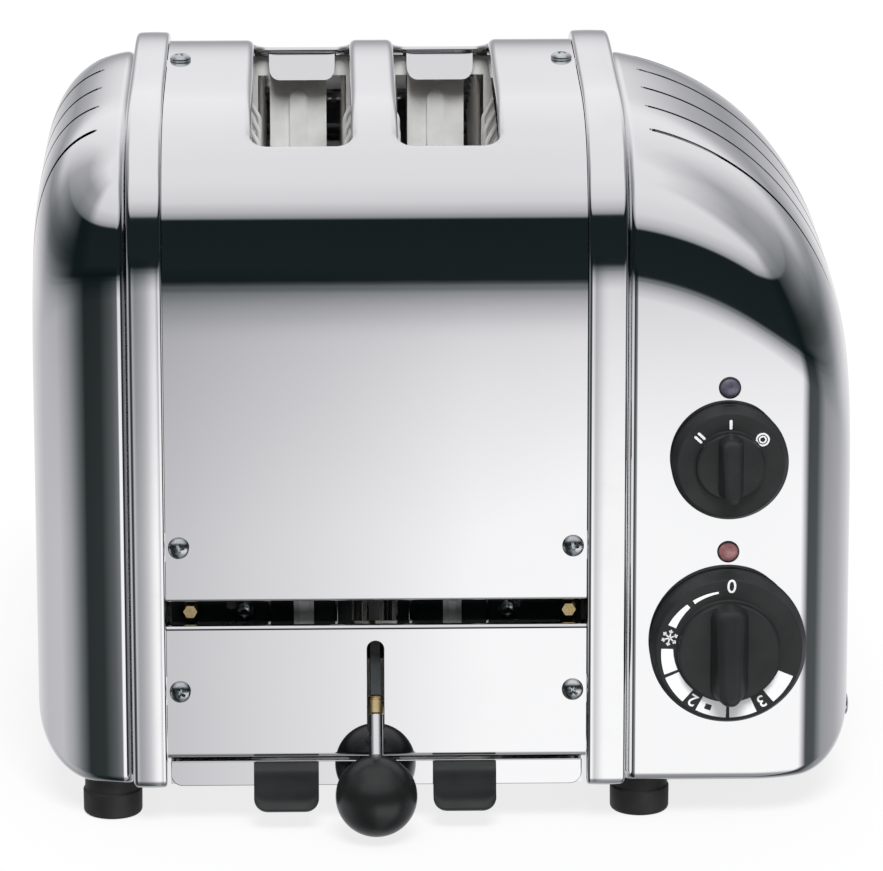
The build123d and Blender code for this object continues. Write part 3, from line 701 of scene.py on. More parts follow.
frame_piece("end_frame_left_casting", "end_frame_left", XL, FR_T, -1)
frame_piece("end_frame_right_casting", "end_frame_right", XR, FR_T_R, 1)


# ------------------------------------------------------------ end covers
def cap(name, node, side, x0, x1, zt_max, z_c, xs_, p_, fil, r_low, h_end, slit_low, skip, screws):
    full_w = x1 - x0
    rb = 3.6

    def par(x):
        x = min(x, x1)
        c = (x - x0) / full_w
        t = min(max((x - xs_) / (x1 - xs_), 0.0), 1.0)
        zt = z_c + (zt_max - z_c) * max(1 - t ** p_, 0.0) ** (1 / p_)
        e = min(max(x - (x1 - fil), 0.0) / fil, 1.0)
        b = CAP_B - fil * (1 - math.sqrt(max(1 - e * e, 0.0)))
        lo = min(max(x - (x1 - r_low), 0.0) / r_low, 1.0)
        zb = Z_BOT + r_low * (1 - math.sqrt(max(1 - lo * lo, 0.0)))
        h = 47.0 * (1 - t ** 3) + h_end * t ** 3
        w = min((x - x0) / 3.2, 1.0)
        roll = 3.0 * (1 - math.sqrt(max(1 - (1 - w) ** 2, 0.0)))
        return b - roll, zb, zt - roll, h

    K = 84
    stn = [x0, x0 + 0.04, x0 + 0.15, x0 + 0.35, x0 + 0.65, x0 + 1.05, x0 + 1.6, x0 + 2.3, x0 + 3.2]
    a0 = math.asin(0.0)
    stn += [x0 + 3.2 + (full_w - 3.2) * math.sin(math.pi / 2 * k / K) for k in range(1, K + 1)]
    nq, nvert = 56, 12

    def row(x, d=0.0):
        b, zb, zt, h = par(x)
        q = quarter(b, zt - h, h, nq, M_CAP)
        fr = [(-b + rb + rb * math.cos(math.radians(a)), zb + rb + rb * math.sin(math.radians(a))) for a in np.linspace(270, 180, 9)]
        fr = [(-b + rb + 8, zb)] + fr
        fr += [(-b, z) for z in np.linspace(zb + rb, zt - h, nvert)[1:-1]] + [tuple(p) for p in q]
        rr = [(-p[0], p[1]) for p in reversed(fr[:-1])]
        return fr + rr

    grid = np.array([[(x, p[0], p[1]) for p in row(x)] for x in stn])
    nr, nc = grid.shape[:2]
    # normals of the grid by finite differences, evaluated just inside the ends
    du = np.gradient(grid, axis=0)
    dv = np.gradient(grid, axis=1)
    du[-1] = du[-2] * 0.0 + (grid[-1] - grid[-2])
    nrm = np.cross(du, dv)
    nrm /= np.linalg.norm(nrm, axis=2, keepdims=True) + 1e-12
    cen = np.array([x0, 0, 110.0])
    flip = np.sign(((grid - cen) * nrm).sum(2).mean())
    nrm *= flip

    def analytic(p):
        x = abs(p[0]) if side else p[0]
        x, y, z = abs(p[0]), p[1], p[2]
        if x > x1 - 0.02:
            return (side, 0, 0)
        b, zb, zt, h = par(x)
        e = 0.01
        b2, zb2, zt2, h2 = par(min(x + e, x1 - 1e-6))
        b1, zb1, zt1, h1 = par(max(x - e, x0))
        dd = min(x + e, x1 - 1e-6) - max(x - e, x0)
        sy = -1 if y < 0 else 1
        if z < zb + rb:
            cy = b - rb
            if abs(y) < cy:
                n = Vector(((zb2 - zb1) / dd, 0, -1))
            else:
                vy, vz = abs(y) - cy, z - (zb + rb)
                k = math.hypot(vy, vz) + 1e-9
                vy, vz = vy / k, vz / k
                n = Vector((-(b2 - b1) / dd * vy - (zb2 - zb1) / dd * vz, sy * vy, vz))
        elif z <= zt - h:
            n = Vector((-(b2 - b1) / dd, sy, 0))
        else:
            def F(b_, zt_, h_):
                return (abs(y) / b_) ** N_SH + max((z - (zt_ - h_)) / h_, 0) ** M_CAP
            fx = (F(b2, zt2, h2) - F(b1, zt1, h1)) / dd
            fy = N_SH * (abs(y) / b) ** (N_SH - 1) / b * sy
            fz = M_CAP * max((z - (zt - h)) / h, 0) ** (M_CAP - 1) / h
            n = Vector((fx, fy, fz))
        n.normalize()
        return (side * n.x, n.y, n.z)

    G3 = grid.copy()
    G3[:, :, 0] *= side
    nn = np.array([[analytic(tuple(G3[i, j])) for j in range(nc)] for i in range(nr)])
    inn = G3 - nn * CAP_T
    inn[0] = G3[0] - nn[3] * CAP_T
    inn[0, :, 0] = G3[0, :, 0] - side * 0.5
    inn[-1, :, 0] = side * (x1 - CAP_T)
    b_, zb_, zt_, h_ = par(x1)
    for j in range(nc):
        yy, zz = G3[-1, j, 1], G3[-1, j, 2]
        inn[-1, j, 1] = yy - math.copysign(min(CAP_T, abs(yy)), yy) if abs(yy) > 0 else 0
        inn[-1, j, 2] = zz + (CAP_T if zz < zb_ + 6 else (-CAP_T if zz > zt_ - 12 else 0))
    # the last inner stations are pulled back so that the two surfaces never cross
    verts = [tuple(p) for r in G3 for p in r] + [tuple(p) for r in inn for p in r]
    o = nr * nc
    faces = []
    for i in range(nr - 1):
        for j in range(nc - 1):
            a, b, c, d = i * nc + j, i * nc + j + 1, (i + 1) * nc + j + 1, (i + 1) * nc + j
            faces += [(a, b, c, d), (o + a, o + d, o + c, o + b)]
        a, b = i * nc, (i + 1) * nc
        a2, b2 = a + nc - 1, b + nc - 1
        faces += [(a, b, b2, a2), (o + a, o + a2, o + b2, o + b)]
    for j in range(nc - 1):
        faces.append((j, o + j, o + j + 1, j + 1))
    faces.append((0, nc - 1, o + nc - 1, o))
    k = (nr - 1) * nc
    faces.append(tuple(range(k, k + nc)))
    faces.append(tuple(reversed(range(o + k, o + k + nc))))
    ob = raw(name, verts, faces)
    cut = []
    sl = []
    for y in SLIT_Y:
        r = SLIT_W / 2
        xa = x0 + skip
        tip = [(side * (xa + r * math.cos(math.radians(a)) * 1.6), y + r * math.sin(math.radians(a))) for a in range(90, 271, 15)]
        pts = tip + [(side * (x1 + 4), y - r), (side * (x1 + 4), y + r)]
        sl.append(prism_xy(pts, slit_low, 232))
    cut.append(raw("slits", *merge(sl)))
    a, b = sorted((side * (x0 - 2), side * (x1 - 24)))
    cut.append(raw("under", *box_data(a, b, -60, 60, 8, 15.5)))
    if screws:
        holes = []
        for x, z, r in screws:
            holes.append(prism_xz(arc_pts(x, z, r, 0, 360, 32)[:-1], -CAP_B - 3, -CAP_B + 4))
        cut.append(raw("holes", *merge(holes)))
    boolean(ob, cut)
    fix_out(ob.data)
    ob.data.materials.clear()
    ob.data.materials.append(STEEL)
    set_normals(ob, analytic, dot=0.6)
    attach(ob, "housing")
    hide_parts(node)
    return ob, analytic, par


cap("end_cover_right_shell", "end_cover_right", 1, XR + FR_T_R, X_END_R, 214.6, 130.4, 41.7, 2.03, 32.0, 17.3, 37.2, 45.0, 9.8,
    ((KN_X, TIMER_Z, 4.2), (KN_X, SELECT_Z, 3.8), (KN_X, LAMP_HI_Z, 2.3), (KN_X, LAMP_LO_Z, 2.3)))
cap("end_cover_left_shell", "end_cover_left", -1, -(XL - FR_T), X_END_L, 214.6, 163.3, 88.8, 2.9, 29.8, 18.8, 41.8, 88.0, 11.2, None)


# ------------------------------------------------------------ screws
def screw_geo(r, h, shank_r, shank_l):
    prof = [(0, -shank_l), (shank_r * 0.8, -shank_l), (shank_r, -shank_l + 0.5), (shank_r, 0), (r - 0.1, 0), (r, 0.15), (r, 0.45)]
    for i in range(1, 11):
        a = math.pi / 2 * i / 10
        prof.append((r * math.cos(a) if i < 10 else 0, 0.45 + (h - 0.45) * math.sin(a)))
    v, f = lathe((0, 0, 0), (0, 0, 1), prof, 40)
    ob = raw("screw", [(a, b - YO, c) for a, b, c in v], f)
    cr = []
    for ang in (0, 90):
        w0, w1, L0, L1 = 0.34, 0.52, 0.9, r * 0.66
        c, s = math.cos(math.radians(ang)), math.sin(math.radians(ang))
        vs = []
        for z, w, L in ((h * 0.25, w0, L0), (h + 0.4, w1, L1)):
            for a, b in ((-L, -w), (L, -w), (L, w), (-L, w)):
                vs.append((a * c - b * s, a * s + b * c - YO, z))
        fs = [(0, 3, 2, 1), (4, 5, 6, 7), (0, 1, 5, 4), (1, 2, 6, 5), (2, 3, 7, 6), (3, 0, 4, 7)]
        cr.append(raw("x", vs, fs))
    boolean(ob, cr)
    V = [Vector((q.co.x / S, q.co.y / S, q.co.z / S)) for q in ob.data.vertices]
    F = [tuple(q.vertices) for q in ob.data.polygons]
    bpy.data.objects.remove(ob)
    return V, F


def place(geo, origin, direction, spin):
    d = Vector(direction).normalized()
    u = Vector((0, 0, 1)) if abs(d.z) < 0.9 else Vector((1, 0, 0))
    u = (u - d * u.dot(d)).normalized()
    w = d.cross(u)
    c, s = math.cos(math.radians(spin)), math.sin(math.radians(spin))
    o = Vector(origin)
    return [tuple(o + (u * (p.x * c - p.y * s)) + w * (p.x * s + p.y * c) + d * p.z) for p in geo[0]], geo[1]


pan = screw_geo(3.3, 2.1, 1.4, 7.5)
spins = iter((17, 40, 62, 31, 8, 75, 52, 23))
heads = []
for x in (-81.6, 38.5):
    for z in (89.1, 43.3):
        heads.append(place(pan, (x, -B, z), (0, -1, 0), next(spins)))
        heads.append(place(pan, (x, B, z), (0, 1, 0), next(spins)))
weighted(make("panel_screw_set", *merge(heads), SCREW, node="panel_screws"), 35)
weighted(make("top_screw_set", *merge([place(pan, (x, 18, TOP), (0, 0, 1), a) for x, a in ((-81.6, 20), (38.5, 55))]), SCREW, node="top_screws"), 35)
but = screw_geo(3.5, 1.4, 1.4, 6.0)
weighted(make("end_cover_screw_set", *merge([place(but, (X_END_R - 0.42, -54.7, 26.6), (1, 0, 0), 25)]), SCREW, node="end_cover_screws"), 35)


# ------------------------------------------------------------ crumb tray strip and grips
TX0, TX1 = -84.8, 41.4
parts = [box_data(TX0, TX1, -90.4, 86.0, 13.4, 14.2), box_data(TX0, TX1, 85.2, 86.0, 14.2, 18.5),
         box_data(TX0, TX0 + 0.8, -90.4, 85.2, 14.2, 19.5), box_data(TX1 - 0.8, TX1, -90.4, 85.2, 14.2, 19.5)]
tray = make("crumb_tray_pan", *merge(parts), STEEL, node="crumb_tray")
weighted(tray)
pts = [(TX0, 20.9), (TX0, 16.6)] + [(TX0 + 3.6 + 3.6 * math.cos(math.radians(a)), 16.5 + 3.6 * math.sin(math.radians(a))) for a in range(190, 271, 10)]
pts += [(TX1 - 3.6 + 3.6 * math.cos(math.radians(a)), 16.5 + 3.6 * math.sin(math.radians(a))) for a in range(270, 351, 10)] + [(TX1, 16.6), (TX1, 20.9)]
strip = make("crumb_tray_front", *prism_xz(pts, -91.2, -90.3), STEEL, body="tray", smooth=False)
bv = strip.modifiers.new("edge", "BEVEL")
bv.width, bv.segments, bv.limit_method = 0.0003, 3, "ANGLE"
weighted(strip)


def grip(x0, x1):
    xm, hw = (x0 + x1) / 2, (x1 - x0) / 2
    prof = [(-91.25, 20.8), (-93.0, 20.9), (-94.6, 20.2), (-95.7, 18.6), (-96.2, 16.0), (-96.4, 13.0), (-96.7, 10.6), (-97.4, 8.9),
            (-98.4, 7.9), (-98.6, 7.1), (-97.9, 6.5), (-96.8, 6.5), (-95.6, 7.2), (-94.6, 8.6), (-94.1, 10.4), (-93.8, 12.4), (-92.6, 12.8), (-91.25, 12.8)]
    n = 26
    verts, faces = [], []
    for i in range(n + 1):
        u = -1 + 2 * i / n
        x = xm + hw * math.sin(u * math.pi / 2)
        e = max(abs(x - xm) - (hw - 4.2), 0) / 4.2
        lift = 4.2 * (1 - math.sqrt(max(1 - e * e, 0)))
        inset = 0.5 * max(0, (abs(x - xm) - (hw - 0.6)) / 0.6)
        cy = sum(p[0] for p in prof) / len(prof)
        for y, z in prof:
            k = min(max((13.0 - z) / 6.5, 0), 1)
            verts.append((x, y + (cy - y) * inset * 0.25, z + lift * k - inset * 0.3 * (1 if z > 19 else 0)))
    m = len(prof)
    for i in range(n):
        for j in range(m):
            k = (j + 1) % m
            faces.append((i * m + j, i * m + k, (i + 1) * m + k, (i + 1) * m + j))
    faces.append(tuple(range(m)))
    faces.append(tuple(range(n * m, (n + 1) * m)))
    return verts, faces


g2 = merge([grip(-59.3, -39.4), grip(-4.3, 15.0)])
gob = make("tray_grip_pair", *g2, BLACK, node="tray_grips")
weighted(gob, 50)

# ------------------------------------------------------------ lever rod, ferrule, ball
FER, BALL = (-91.2, 38.0), (-107.2, 14.6)
dl = math.hypot(BALL[0] - FER[0], BALL[1] - FER[1])
dy, dz = (BALL[0] - FER[0]) / dl, (BALL[1] - FER[1]) / dl
o = (X_MID, FER[0], FER[1])
ax = (0, dy, dz)
fer = [(0, -3), (2.3, -3), (2.4, -2.9), (2.4, -2.6), (2.1, -2.35), (2.1, -1.95), (2.4, -1.7), (2.4, 2.2), (2.2, 2.6), (0, 2.6)]
weighted(make("lever_ferrule_turned", *lathe(o, ax, fer, 48), BRASS, node="lever_ferrule"))
rodp = [(0, 2.6), (1.9, 2.6), (2.15, 2.85), (2.15, dl - 8.3), (0, dl - 8.3)]
weighted(make("lever_rod_polished", *lathe(o, ax, rodp, 48), CHROME, node="lever_rod"))
R = 12.5
prof = [(0, dl - 8.6), (2.2, dl - 8.6), (2.2, dl - R * math.cos(math.asin(3.0 / R)) - 0.35), (2.6, dl - R * math.cos(math.asin(3.0 / R)) - 0.35)]
a0 = math.asin(3.0 / R)
for i in range(0, 49):
    a = a0 + (math.pi - a0) * i / 48
    prof.append((R * math.sin(a) if i < 48 else 0, dl - R * math.cos(a)))
weighted(make("ball_knob_turned", *lathe(o, ax, prof, 96), BALLM, node="ball_knob"), 30)


# ------------------------------------------------------------ dials
def ring_arc(cx, cz, y, r0a, r0b, r1a, r1b, a0, a1, n=24):
    """flat band between two angles, measured clockwise from the top; inner/outer radius run from a to b"""
    verts, faces = [], []
    for i in range(n + 1):
        t = i / n
        a = math.radians(a0 + (a1 - a0) * t)
        for r in (r0a + (r0b - r0a) * t, r1a + (r1b - r1a) * t):
            for yy in (y, y + 0.12):
                verts.append((cx + r * math.sin(a), yy, cz + r * math.cos(a)))
    for i in range(n):
        a = i * 4
        b = a + 4
        faces += [(a, a + 2, b + 2, b), (a + 1, b + 1, b + 3, a + 3), (a, b, b + 1, a + 1), (a + 2, a + 3, b + 3, b + 2)]
    faces += [(0, 1, 3, 2), (n * 4, n * 4 + 2, n * 4 + 3, n * 4 + 1)]
    return verts, faces


def bar_mark(cx, cz, y, r, ang, length, width, shift=0.0):
    a = math.radians(ang)
    ur, ut = (math.sin(a), math.cos(a)), (math.cos(a), -math.sin(a))
    pts = []
    for k, l in rounded_rect(width / 2, length / 2, width * 0.45, 5)[0]:
        pts.append((cx + ur[0] * (r + l) + ut[0] * (k + shift), cz + ur[1] * (r + l) + ut[1] * (k + shift)))
    return prism_xz(pts, y, y + 0.12)


def text_geo(s, size, cx, cz, y, r, ang):
    cu = bpy.data.curves.new("t", "FONT")
    cu.body = s
    cu.size = size
    cu.align_x, cu.align_y = "CENTER", "CENTER"
    cu.extrude = 0.06
    cu.offset = 0.045
    ob = bpy.data.objects.new("t", cu)
    bpy.context.scene.collection.objects.link(ob)
    bpy.context.view_layer.update()
    me = bpy.data.meshes.new_from_object(ob.evaluated_get(bpy.context.evaluated_depsgraph_get()))
    a = math.radians(ang)
    V = []
    for q in me.vertices:
        k, l = q.co.x, q.co.y
        V.append((cx + math.sin(a) * (r + l) + math.cos(a) * k, y + 0.06 - q.co.z, cz + math.cos(a) * (r + l) - math.sin(a) * k))
    F = [tuple(q.vertices) for q in me.polygons]
    bpy.data.objects.remove(ob)
    bpy.data.meshes.remove(me)
    return V, F


def bar_grip(cx, cz, y_base, y_top, w, L, w2, L2, rnd, n_lvl=8, sink=1.0):
    """tapered, round-edged finger bar standing out towards -Y"""
    rings = []
    H = y_base - y_top
    r_edge = min(w2 * 0.32, H * 0.4)
    levels = [(0.0, 0.0)]
    prof = [(-sink, 1.0, 0.0)]
    for i in range(1, 6):
        prof.append((H * 0.8 * i / 5 * (1 - r_edge / H), 1.0 - (i / 5), 0.0))
    out = []
    K = 7
    base = [(0.0 - sink, 0.0), (0.0, 0.0), (H - r_edge, 0.0)]
    for i in range(1, K + 1):
        a = math.pi / 2 * i / K
        base.append((H - r_edge + r_edge * math.sin(a), r_edge * (1 - math.cos(a))))
    for hh, inset in base:
        t = min(max(hh / H, 0), 1)
        ww, ll = w + (w2 - w) * t - 2 * inset, L + (L2 - L) * t - 2 * inset
        rr = max(min(ww, ll) / 2 * rnd, 0.2)
        out.append([(cx + a * (1.0 + 0.22 * t * b / (L / 2)), y_base - hh * (0.78 - 0.22 * b / (L / 2)), cz + b) for a, b in rounded_rect(ww / 2, ll / 2, rr, 8)[0]])
    n = len(out[0])
    verts = [p for r in out for p in r]
    faces = [tuple(range(n))]
    for a in range(len(out) - 1):
        for i in range(n):
            j = (i + 1) % n
            faces.append((a * n + i, a * n + j, (a + 1) * n + j, (a + 1) * n + i))
    faces.append(tuple(reversed(range((len(out) - 1) * n, len(out) * n))))
    return verts, faces


Y0 = -CAP_B - 0.6


def dial(name, node, z, r, skirt, disc_r, disc_h, shaft_r, bar):
    yf = Y0 - skirt
    prof = [(shaft_r + 0.02, 0), (r - 0.4, 0), (r, 0.4), (r, skirt * 0.45), (r - 0.25, skirt * 0.55), (r - 1.5, skirt - 0.25), (r - 1.9, skirt), (disc_r + 0.5, skirt), (disc_r + 0.05, skirt + 0.25), (disc_r - 0.15, skirt + disc_h - 0.5), (disc_r - 0.7, skirt + disc_h), (0, skirt + disc_h)]
    k = lathe((KN_X, Y0, z), (0, -1, 0), prof + [], 128)
    inner = lathe((KN_X, Y0, z), (0, -1, 0), [(0, skirt + 1.5), (shaft_r + 0.02, skirt + 1.5), (shaft_r + 0.02, 0)], 128)
    grip_ = bar_grip(KN_X, z, yf - disc_h, yf - disc_h - bar[2], bar[0], bar[1], bar[3], bar[4], bar[5])
    ob = make(name, *merge([k, inner, grip_]), DIAL, node=node)
    weighted(ob, 28)
    return yf


yf = dial("timer_knob_moulded", "timer_knob", TIMER_Z, 24.0, 7.0, 15.7, 3.0, 3.0, (11.6, 31.0, 9.6, 6.8, 29.0, 0.85))
y_m = yf - 0.06
marks = [ring_arc(KN_X, TIMER_Z, y_m, 18.4, 18.2, 19.0, 19.4, -10, -35),
         ring_arc(KN_X, TIMER_Z, y_m, 18.1, 17.7, 19.5, 20.3, -41, -66),
         ring_arc(KN_X, TIMER_Z, y_m, 17.0, 16.7, 20.6, 21.0, -88, -111),
         ring_arc(KN_X, TIMER_Z, y_m, 16.6, 16.5, 21.2, 21.4, -114, -139),
         ring_arc(KN_X, TIMER_Z, y_m, 16.5, 16.5, 21.4, 21.4, -152, -158), ring_arc(KN_X, TIMER_Z, y_m, 16.5, 16.5, 21.4, 21.4, -164, -178),
         ring_arc(KN_X, TIMER_Z, y_m, 16.5, 16.5, 18.1, 18.1, -158, -164), ring_arc(KN_X, TIMER_Z, y_m, 19.9, 19.9, 21.4, 21.4, -158, -164),
         ring_arc(KN_X, TIMER_Z, y_m, 16.5, 16.5, 21.4, 21.4, -181, -204),
         ring_arc(KN_X, TIMER_Z, y_m, 16.5, 16.5, 21.4, 21.4, -220, -247),
         text_geo("0", 5.9, KN_X, TIMER_Z, y_m, 20.2, 2), text_geo("2", 5.4, KN_X, TIMER_Z, y_m, 19.0, -145.5), text_geo("3", 5.4, KN_X, TIMER_Z, y_m, 19.0, -212)]
# frost mark: three crossed bars with short side strokes
fa = math.radians(-77)
fx, fz = KN_X + 18.6 * math.sin(fa), TIMER_Z + 18.6 * math.cos(fa)
for k in range(6):
    a = 60 * k + 13
    marks.append(bar_mark(fx, fz, y_m, 1.3, a, 2.6, 0.42))
    for q in (-38, 38):
        b = math.radians(a)
        marks.append(bar_mark(fx + 1.4 * math.sin(b), fz + 1.4 * math.cos(b), y_m, 0.5, a + q, 1.0, 0.3))
mk = make("timer_marks", *merge(marks), PRINT, body="timer_dial", smooth=False)

yf = dial("selector_knob_moulded", "selector_knob", SELECT_Z, 17.9, 6.0, 10.5, 2.6, 2.5, (7.6, 20.4, 9.4, 4.6, 18.6, 0.85))
y_m = yf - 0.06
marks = [bar_mark(KN_X, SELECT_Z, y_m, 12.8, 0, 3.0, 0.9),
         bar_mark(KN_X, SELECT_Z, y_m, 12.8, -47, 3.0, 0.8, -0.75), bar_mark(KN_X, SELECT_Z, y_m, 12.8, -47, 3.0, 0.8, 0.75)]
oa = math.radians(50)
ox, oz = KN_X + 12.6 * math.sin(oa), SELECT_Z + 12.6 * math.cos(oa)
marks += [ring_arc(ox, oz, y_m, 1.55, 1.55, 2.1, 2.1, 0, 360, 40), ring_arc(ox, oz, y_m, 0.75, 0.75, 1.2, 1.2, 0, 360, 32)]
mk = make("selector_marks", *merge(marks), PRINT, body="selector_dial", smooth=False)

# ------------------------------------------------------------ lamps
for nm, node, z, mat in (("upper_lamp_lens", "lamp_lens_upper", LAMP_HI_Z, LENS_HI), ("lower_lamp_lens", "lamp_lens_lower", LAMP_LO_Z, LENS_LO)):
    prof = [(0, -10), (2.2, -10), (2.2, 0.0), (2.95, 0.1), (3.0, 0.5)] + [(2.75 * math.cos(math.radians(a)) if a < 90 else 0, 0.75 + 0.75 * math.sin(math.radians(a))) for a in range(0, 91, 10)]
    ob = make(nm, *lathe((KN_X, -CAP_B, z), (0, -1, 0), prof, 48), mat, node=node)
    weighted(ob, 35)
bez = merge([lathe((KN_X, -CAP_B, z), (0, -1, 0), [(2.95, 0.02), (3.35, 0.02), (3.4, 0.25), (3.25, 0.6), (3.0, 0.65), (2.95, 0.4)], 48) for z in (LAMP_HI_Z, LAMP_LO_Z)])
bz = make("lamp_bezels", *bez, DIAL, body="housing")
weighted(bz, 40)

# ------------------------------------------------------------ feet
feet = []
for x in (-103.2, 59.9):
    for y in (-76.4, 76.4):
        prof = [(4.2, 5.0), (4.2, 0.6), (4.6, 0.0), (7.6, 0.0)] + [(7.6 + 1.5 * math.cos(math.radians(a)), 1.5 + 1.5 * math.sin(math.radians(a))) for a in range(-80, 1, 20)]
        prof += [(9.15, 7.6), (9.0, 8.0), (8.6, 8.3), (8.6, 12.45), (2.0, 12.45), (2.0, 5.0), (4.2, 5.0)]
        feet.append(lathe((x, y, 0), (0, 0, 1), prof, 64))
weighted(make("rubber_foot_set", *merge(feet), RUBBER, node="rubber_feet"), 35)

# ------------------------------------------------------------ fittings on the front chamber plate, seen in the vent gap
fit = []
for x in (-62.0, 19.0):
    fit.append(lathe((x, -76.0, 64.6), (0, -1, 0), [(0, 0), (3.0, 0), (3.0, 0.5), (2.6, 0.9), (2.2, 0.9), (2.0, 2.4), (1.3, 2.8), (1.3, 1.8), (0, 1.8)], 36))
weighted(make("gap_rivets", *merge(fit), SCREW, body="housing"), 35)
tabs = []
for x0, x1 in ((-46.8, -40.6), (-0.9, 4.8)):
    tabs.append(box_data(x0, x1, -77.0, -76.05, 58.5, 69.5))
    tabs.append(box_data(x0 + 1.6, x1 - 1.6, -77.9, -77.0, 61.0, 68.0))
tb = make("gap_tabs", *merge(tabs), PLATE, body="housing", smooth=False)
bv = tb.modifiers.new("edge", "BEVEL")
bv.width, bv.segments, bv.limit_method = 0.00025, 2, "ANGLE"
slits = [box_data(x, x + 1.0, -76.6, -76.02, 58.5, 70.0) for x in (-54.8, -34.2, -11.4, 12.2)]
gs = make("gap_ribs", *merge(slits), WIRE, body="housing", smooth=False)
bv = gs.modifiers.new("edge", "BEVEL")
bv.width, bv.segments, bv.limit_method = 0.0002, 2, "ANGLE"

# smooth shading for round CAD pieces that stay
for nm in ("guard_wires_left", "guard_wires_right", "carriage_guide_rods", "pivot_shaft", "timer_shaft", "selector_shaft", "cord_gland"):
    me = NODES[nm].data
    for p in me.polygons:
        p.use_smooth = True
    me.set_sharp_from_angle(angle=math.radians(35))

# ------------------------------------------------------------ floor, light, camera
fl = bpy.data.meshes.new("floor")
fl.from_pydata([(-4, -4, 0), (4, -4, 0), (4, 4, 0), (-4, 4, 0)], [], [(0, 1, 2, 3)])
floor = bpy.data.objects.new("floor", fl)
bpy.context.scene.collection.objects.link(floor)
m, nt, bsdf = new_mat("floor_white")
bsdf.inputs["Base Color"].default_value = (0.14, 0.14, 0.14, 1)
bsdf.inputs["Roughness"].default_value = 0.9
bsdf.inputs["Specular IOR Level"].default_value = 0.0
bsdf.inputs["Emission Color"].default_value = (1, 1, 1, 1)
bsdf.inputs["Emission Strength"].default_value = 0.80
fl.materials.append(m)
floor.visible_glossy = False

world = bpy.data.worlds.new("studio")
bpy.context.scene.world = world
world.use_nodes = True
wt = world.node_tree
wt.nodes.clear()


def wn(t):
    return wt.nodes.new(t)


def wmath(op, a, b=None):
    n = wn("ShaderNodeMath")
    n.operation = op
    for i, q in enumerate((a, b)):
        if q is None:
            continue
        if isinstance(q, (int, float)):
            n.inputs[i].default_value = q
        else:
            wt.links.new(q, n.inputs[i])
    return n.outputs[0]


def wramp(fac, stops):
    n = wn("ShaderNodeValToRGB")
    cr = n.color_ramp
    cr.interpolation = "LINEAR"
    while len(cr.elements) > 1:
        cr.elements.remove(cr.elements[-1])
    cr.elements[0].position = stops[0][0]
    cr.elements[0].color = (stops[0][1],) * 3 + (1,)
    for p, c in stops[1:]:
        e = cr.elements.new(p)
        e.color = (c, c, c, 1)
    wt.links.new(fac, n.inputs["Fac"])
    return n.outputs["Color"]


tc = wn("ShaderNodeTexCoord")
sp = wn("ShaderNodeSeparateXYZ")
wt.links.new(tc.outputs["Generated"], sp.inputs[0])
X, Y, Z = sp.outputs
el = wmath("ADD", wmath("DIVIDE", wmath("ARCSINE", Z), math.pi), 0.5)
az = wmath("ADD", wmath("DIVIDE", wmath("ARCTAN2", X, wmath("MULTIPLY", Y, -1.0)), 2 * math.pi), 0.5)


def E(d):
    return d / 180 + 0.5


def A(d):
    return d / 360 + 0.5


top_ramp = wramp(el, [(E(-90), .22), (E(-52), .30), (E(-36), .74), (E(-26), .95), (E(-16.2), .98), (E(-15.0), .84), (E(-13.6), .60), (E(-10.6), .34), (E(-9.6), .27), (E(-9.3), .17), (E(-8.0), .15), (E(-7.6), .014), (E(21.5), .012), (E(22.8), .30), (E(27), .50), (E(36), .70), (E(56), .78), (E(90), .80)])
back_ramp = wramp(el, [(E(-90), .35), (E(-40), .6), (E(-12), .80), (E(-5), .50), (E(1), .34), (E(6), .46), (E(12), .80), (E(16), .86), (E(40), .84), (E(90), .80)])
az_ramp = wramp(az, [(A(-180), .95), (A(-150), .85), (A(-125), .66), (A(-95), .62), (A(-78), .42), (A(-64), .16), (A(-54), .03), (A(-34), .035), (A(-20), .12), (A(-9), .28), (A(-4), .44), (A(-1.6), .60), (A(-0.5), .72), (A(1.2), 1.0), (A(3), 1.10), (A(60), 1.10), (A(66), .50), (A(70), .08), (A(82), .09), (A(94), .36), (A(120), .50), (A(145), .80), (A(165), .95), (A(180), .95)])
side_ramp = wramp(az, [(A(-180), 1), (A(-155), .9), (A(-125), .48), (A(-85), .34), (A(-62), .45), (A(-48), 1), (A(52), 1), (A(66), .5), (A(88), .36), (A(125), .45), (A(155), .9), (A(180), 1)])
back_w = wramp(az, [(A(-180), 1), (A(-140), .95), (A(-95), .30), (A(-70), 0), (A(70), 0), (A(95), .30), (A(140), .95), (A(180), 1)])
low_w = wramp(el, [(E(-90), 1), (E(-7), 1), (E(-3), 0), (E(90), 0)])
high_w = wramp(el, [(E(-90), 0), (E(-7), 0), (E(-3), 1), (E(46), .9), (E(68), 0), (E(90), 0)])


def mixrgb(fac, a, b, mode="MIX"):
    n = wn("ShaderNodeMix")
    n.data_type = "RGBA"
    n.blend_type = mode
    if isinstance(fac, (int, float)):
        n.inputs["Factor"].default_value = fac
    else:
        wt.links.new(fac, n.inputs["Factor"])
    wt.links.new(a, n.inputs[6])
    wt.links.new(b, n.inputs[7])
    return n.outputs[2]


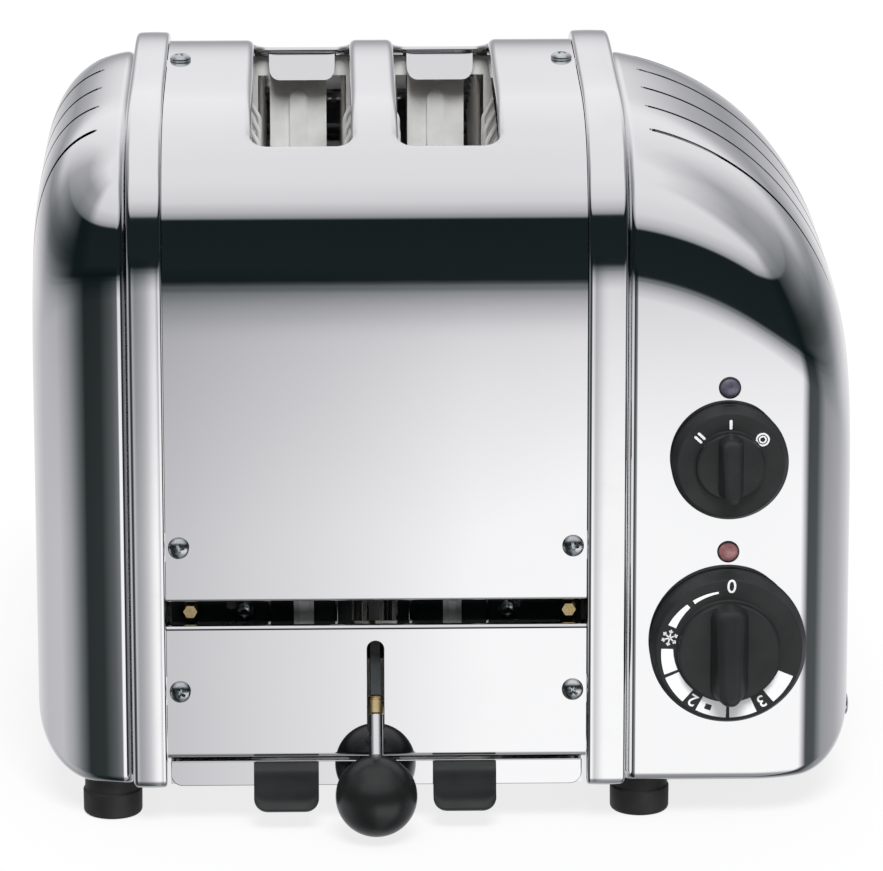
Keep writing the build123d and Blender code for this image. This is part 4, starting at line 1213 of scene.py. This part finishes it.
front = mixrgb(low_w, top_ramp, az_ramp, "MULTIPLY")
back = mixrgb(low_w, back_ramp, az_ramp, "MULTIPLY")
allc = mixrgb(high_w, mixrgb(back_w, front, back), side_ramp, "MULTIPLY")
tint = wn("ShaderNodeValToRGB")
stops = ((0.0, (0.004, 0.0075, 0.0075)), (0.012, (0.0095, 0.0145, 0.0145)), (0.2, (0.180, 0.195, 0.200)), (0.5, (0.495, 0.490, 0.510)), (0.85, (0.852, 0.846, 0.856)), (1.0, (1.0, 1.0, 1.0)))
tint.color_ramp.elements[0].position, tint.color_ramp.elements[0].color = 0.0, (*stops[0][1], 1)
tint.color_ramp.elements[1].position, tint.color_ramp.elements[1].color = 1.0, (*stops[-1][1], 1)
for p, c in stops[1:-1]:
    tint.color_ramp.elements.new(p).color = (*c, 1)
wt.links.new(allc, tint.inputs["Fac"])
allc = tint.outputs["Color"]
bg = wn("ShaderNodeBackground")
wt.links.new(allc, bg.inputs["Color"])
bg.inputs["Strength"].default_value = 1.12
pale = wn("ShaderNodeBackground")
pale.inputs["Color"].default_value = (0.93, 0.93, 0.93, 1)
lp = wn("ShaderNodeLightPath")
mx = wn("ShaderNodeMixShader")
wt.links.new(lp.outputs["Is Camera Ray"], mx.inputs[0])
wt.links.new(bg.outputs[0], mx.inputs[1])
wt.links.new(pale.outputs[0], mx.inputs[2])
out = wn("ShaderNodeOutputWorld")
wt.links.new(mx.outputs[0], out.inputs["Surface"])

sun = bpy.data.lights.new("high_front_light", "SUN")
sun.energy = 3.4
sun.angle = math.radians(24)
so = bpy.data.objects.new("high_front_light", sun)
bpy.context.scene.collection.objects.link(so)
so.rotation_euler = (math.radians(38), 0, math.radians(4))
so.visible_glossy = False

sc = bpy.context.scene
sc.view_settings.view_transform = "Standard"

yaw, pitch, roll = 0.019408130, 0.267164697, -0.001297721
fwd = Vector((math.sin(yaw) * math.cos(pitch), math.cos(yaw) * math.cos(pitch), -math.sin(pitch)))
right = Vector((math.cos(yaw), -math.sin(yaw), 0))
up = right.cross(fwd)
r2 = right * math.cos(roll) + up * math.sin(roll)
u2 = up * math.cos(roll) - right * math.sin(roll)
cam = bpy.data.cameras.new("camera")
cam.sensor_fit = "HORIZONTAL"
cam.sensor_width = 36.0
cam.lens = 6451.2216 / 883 * 36.0
cam.clip_end = 50
co = bpy.data.objects.new("camera", cam)
sc.collection.objects.link(co)
co.matrix_world = Matrix(((r2.x, u2.x, -fwd.x, -0.0381655), (r2.y, u2.y, -fwd.y, -1.9765943 + YO * S), (r2.z, u2.z, -fwd.z, 0.6402946), (0, 0, 0, 1)))
sc.camera = co
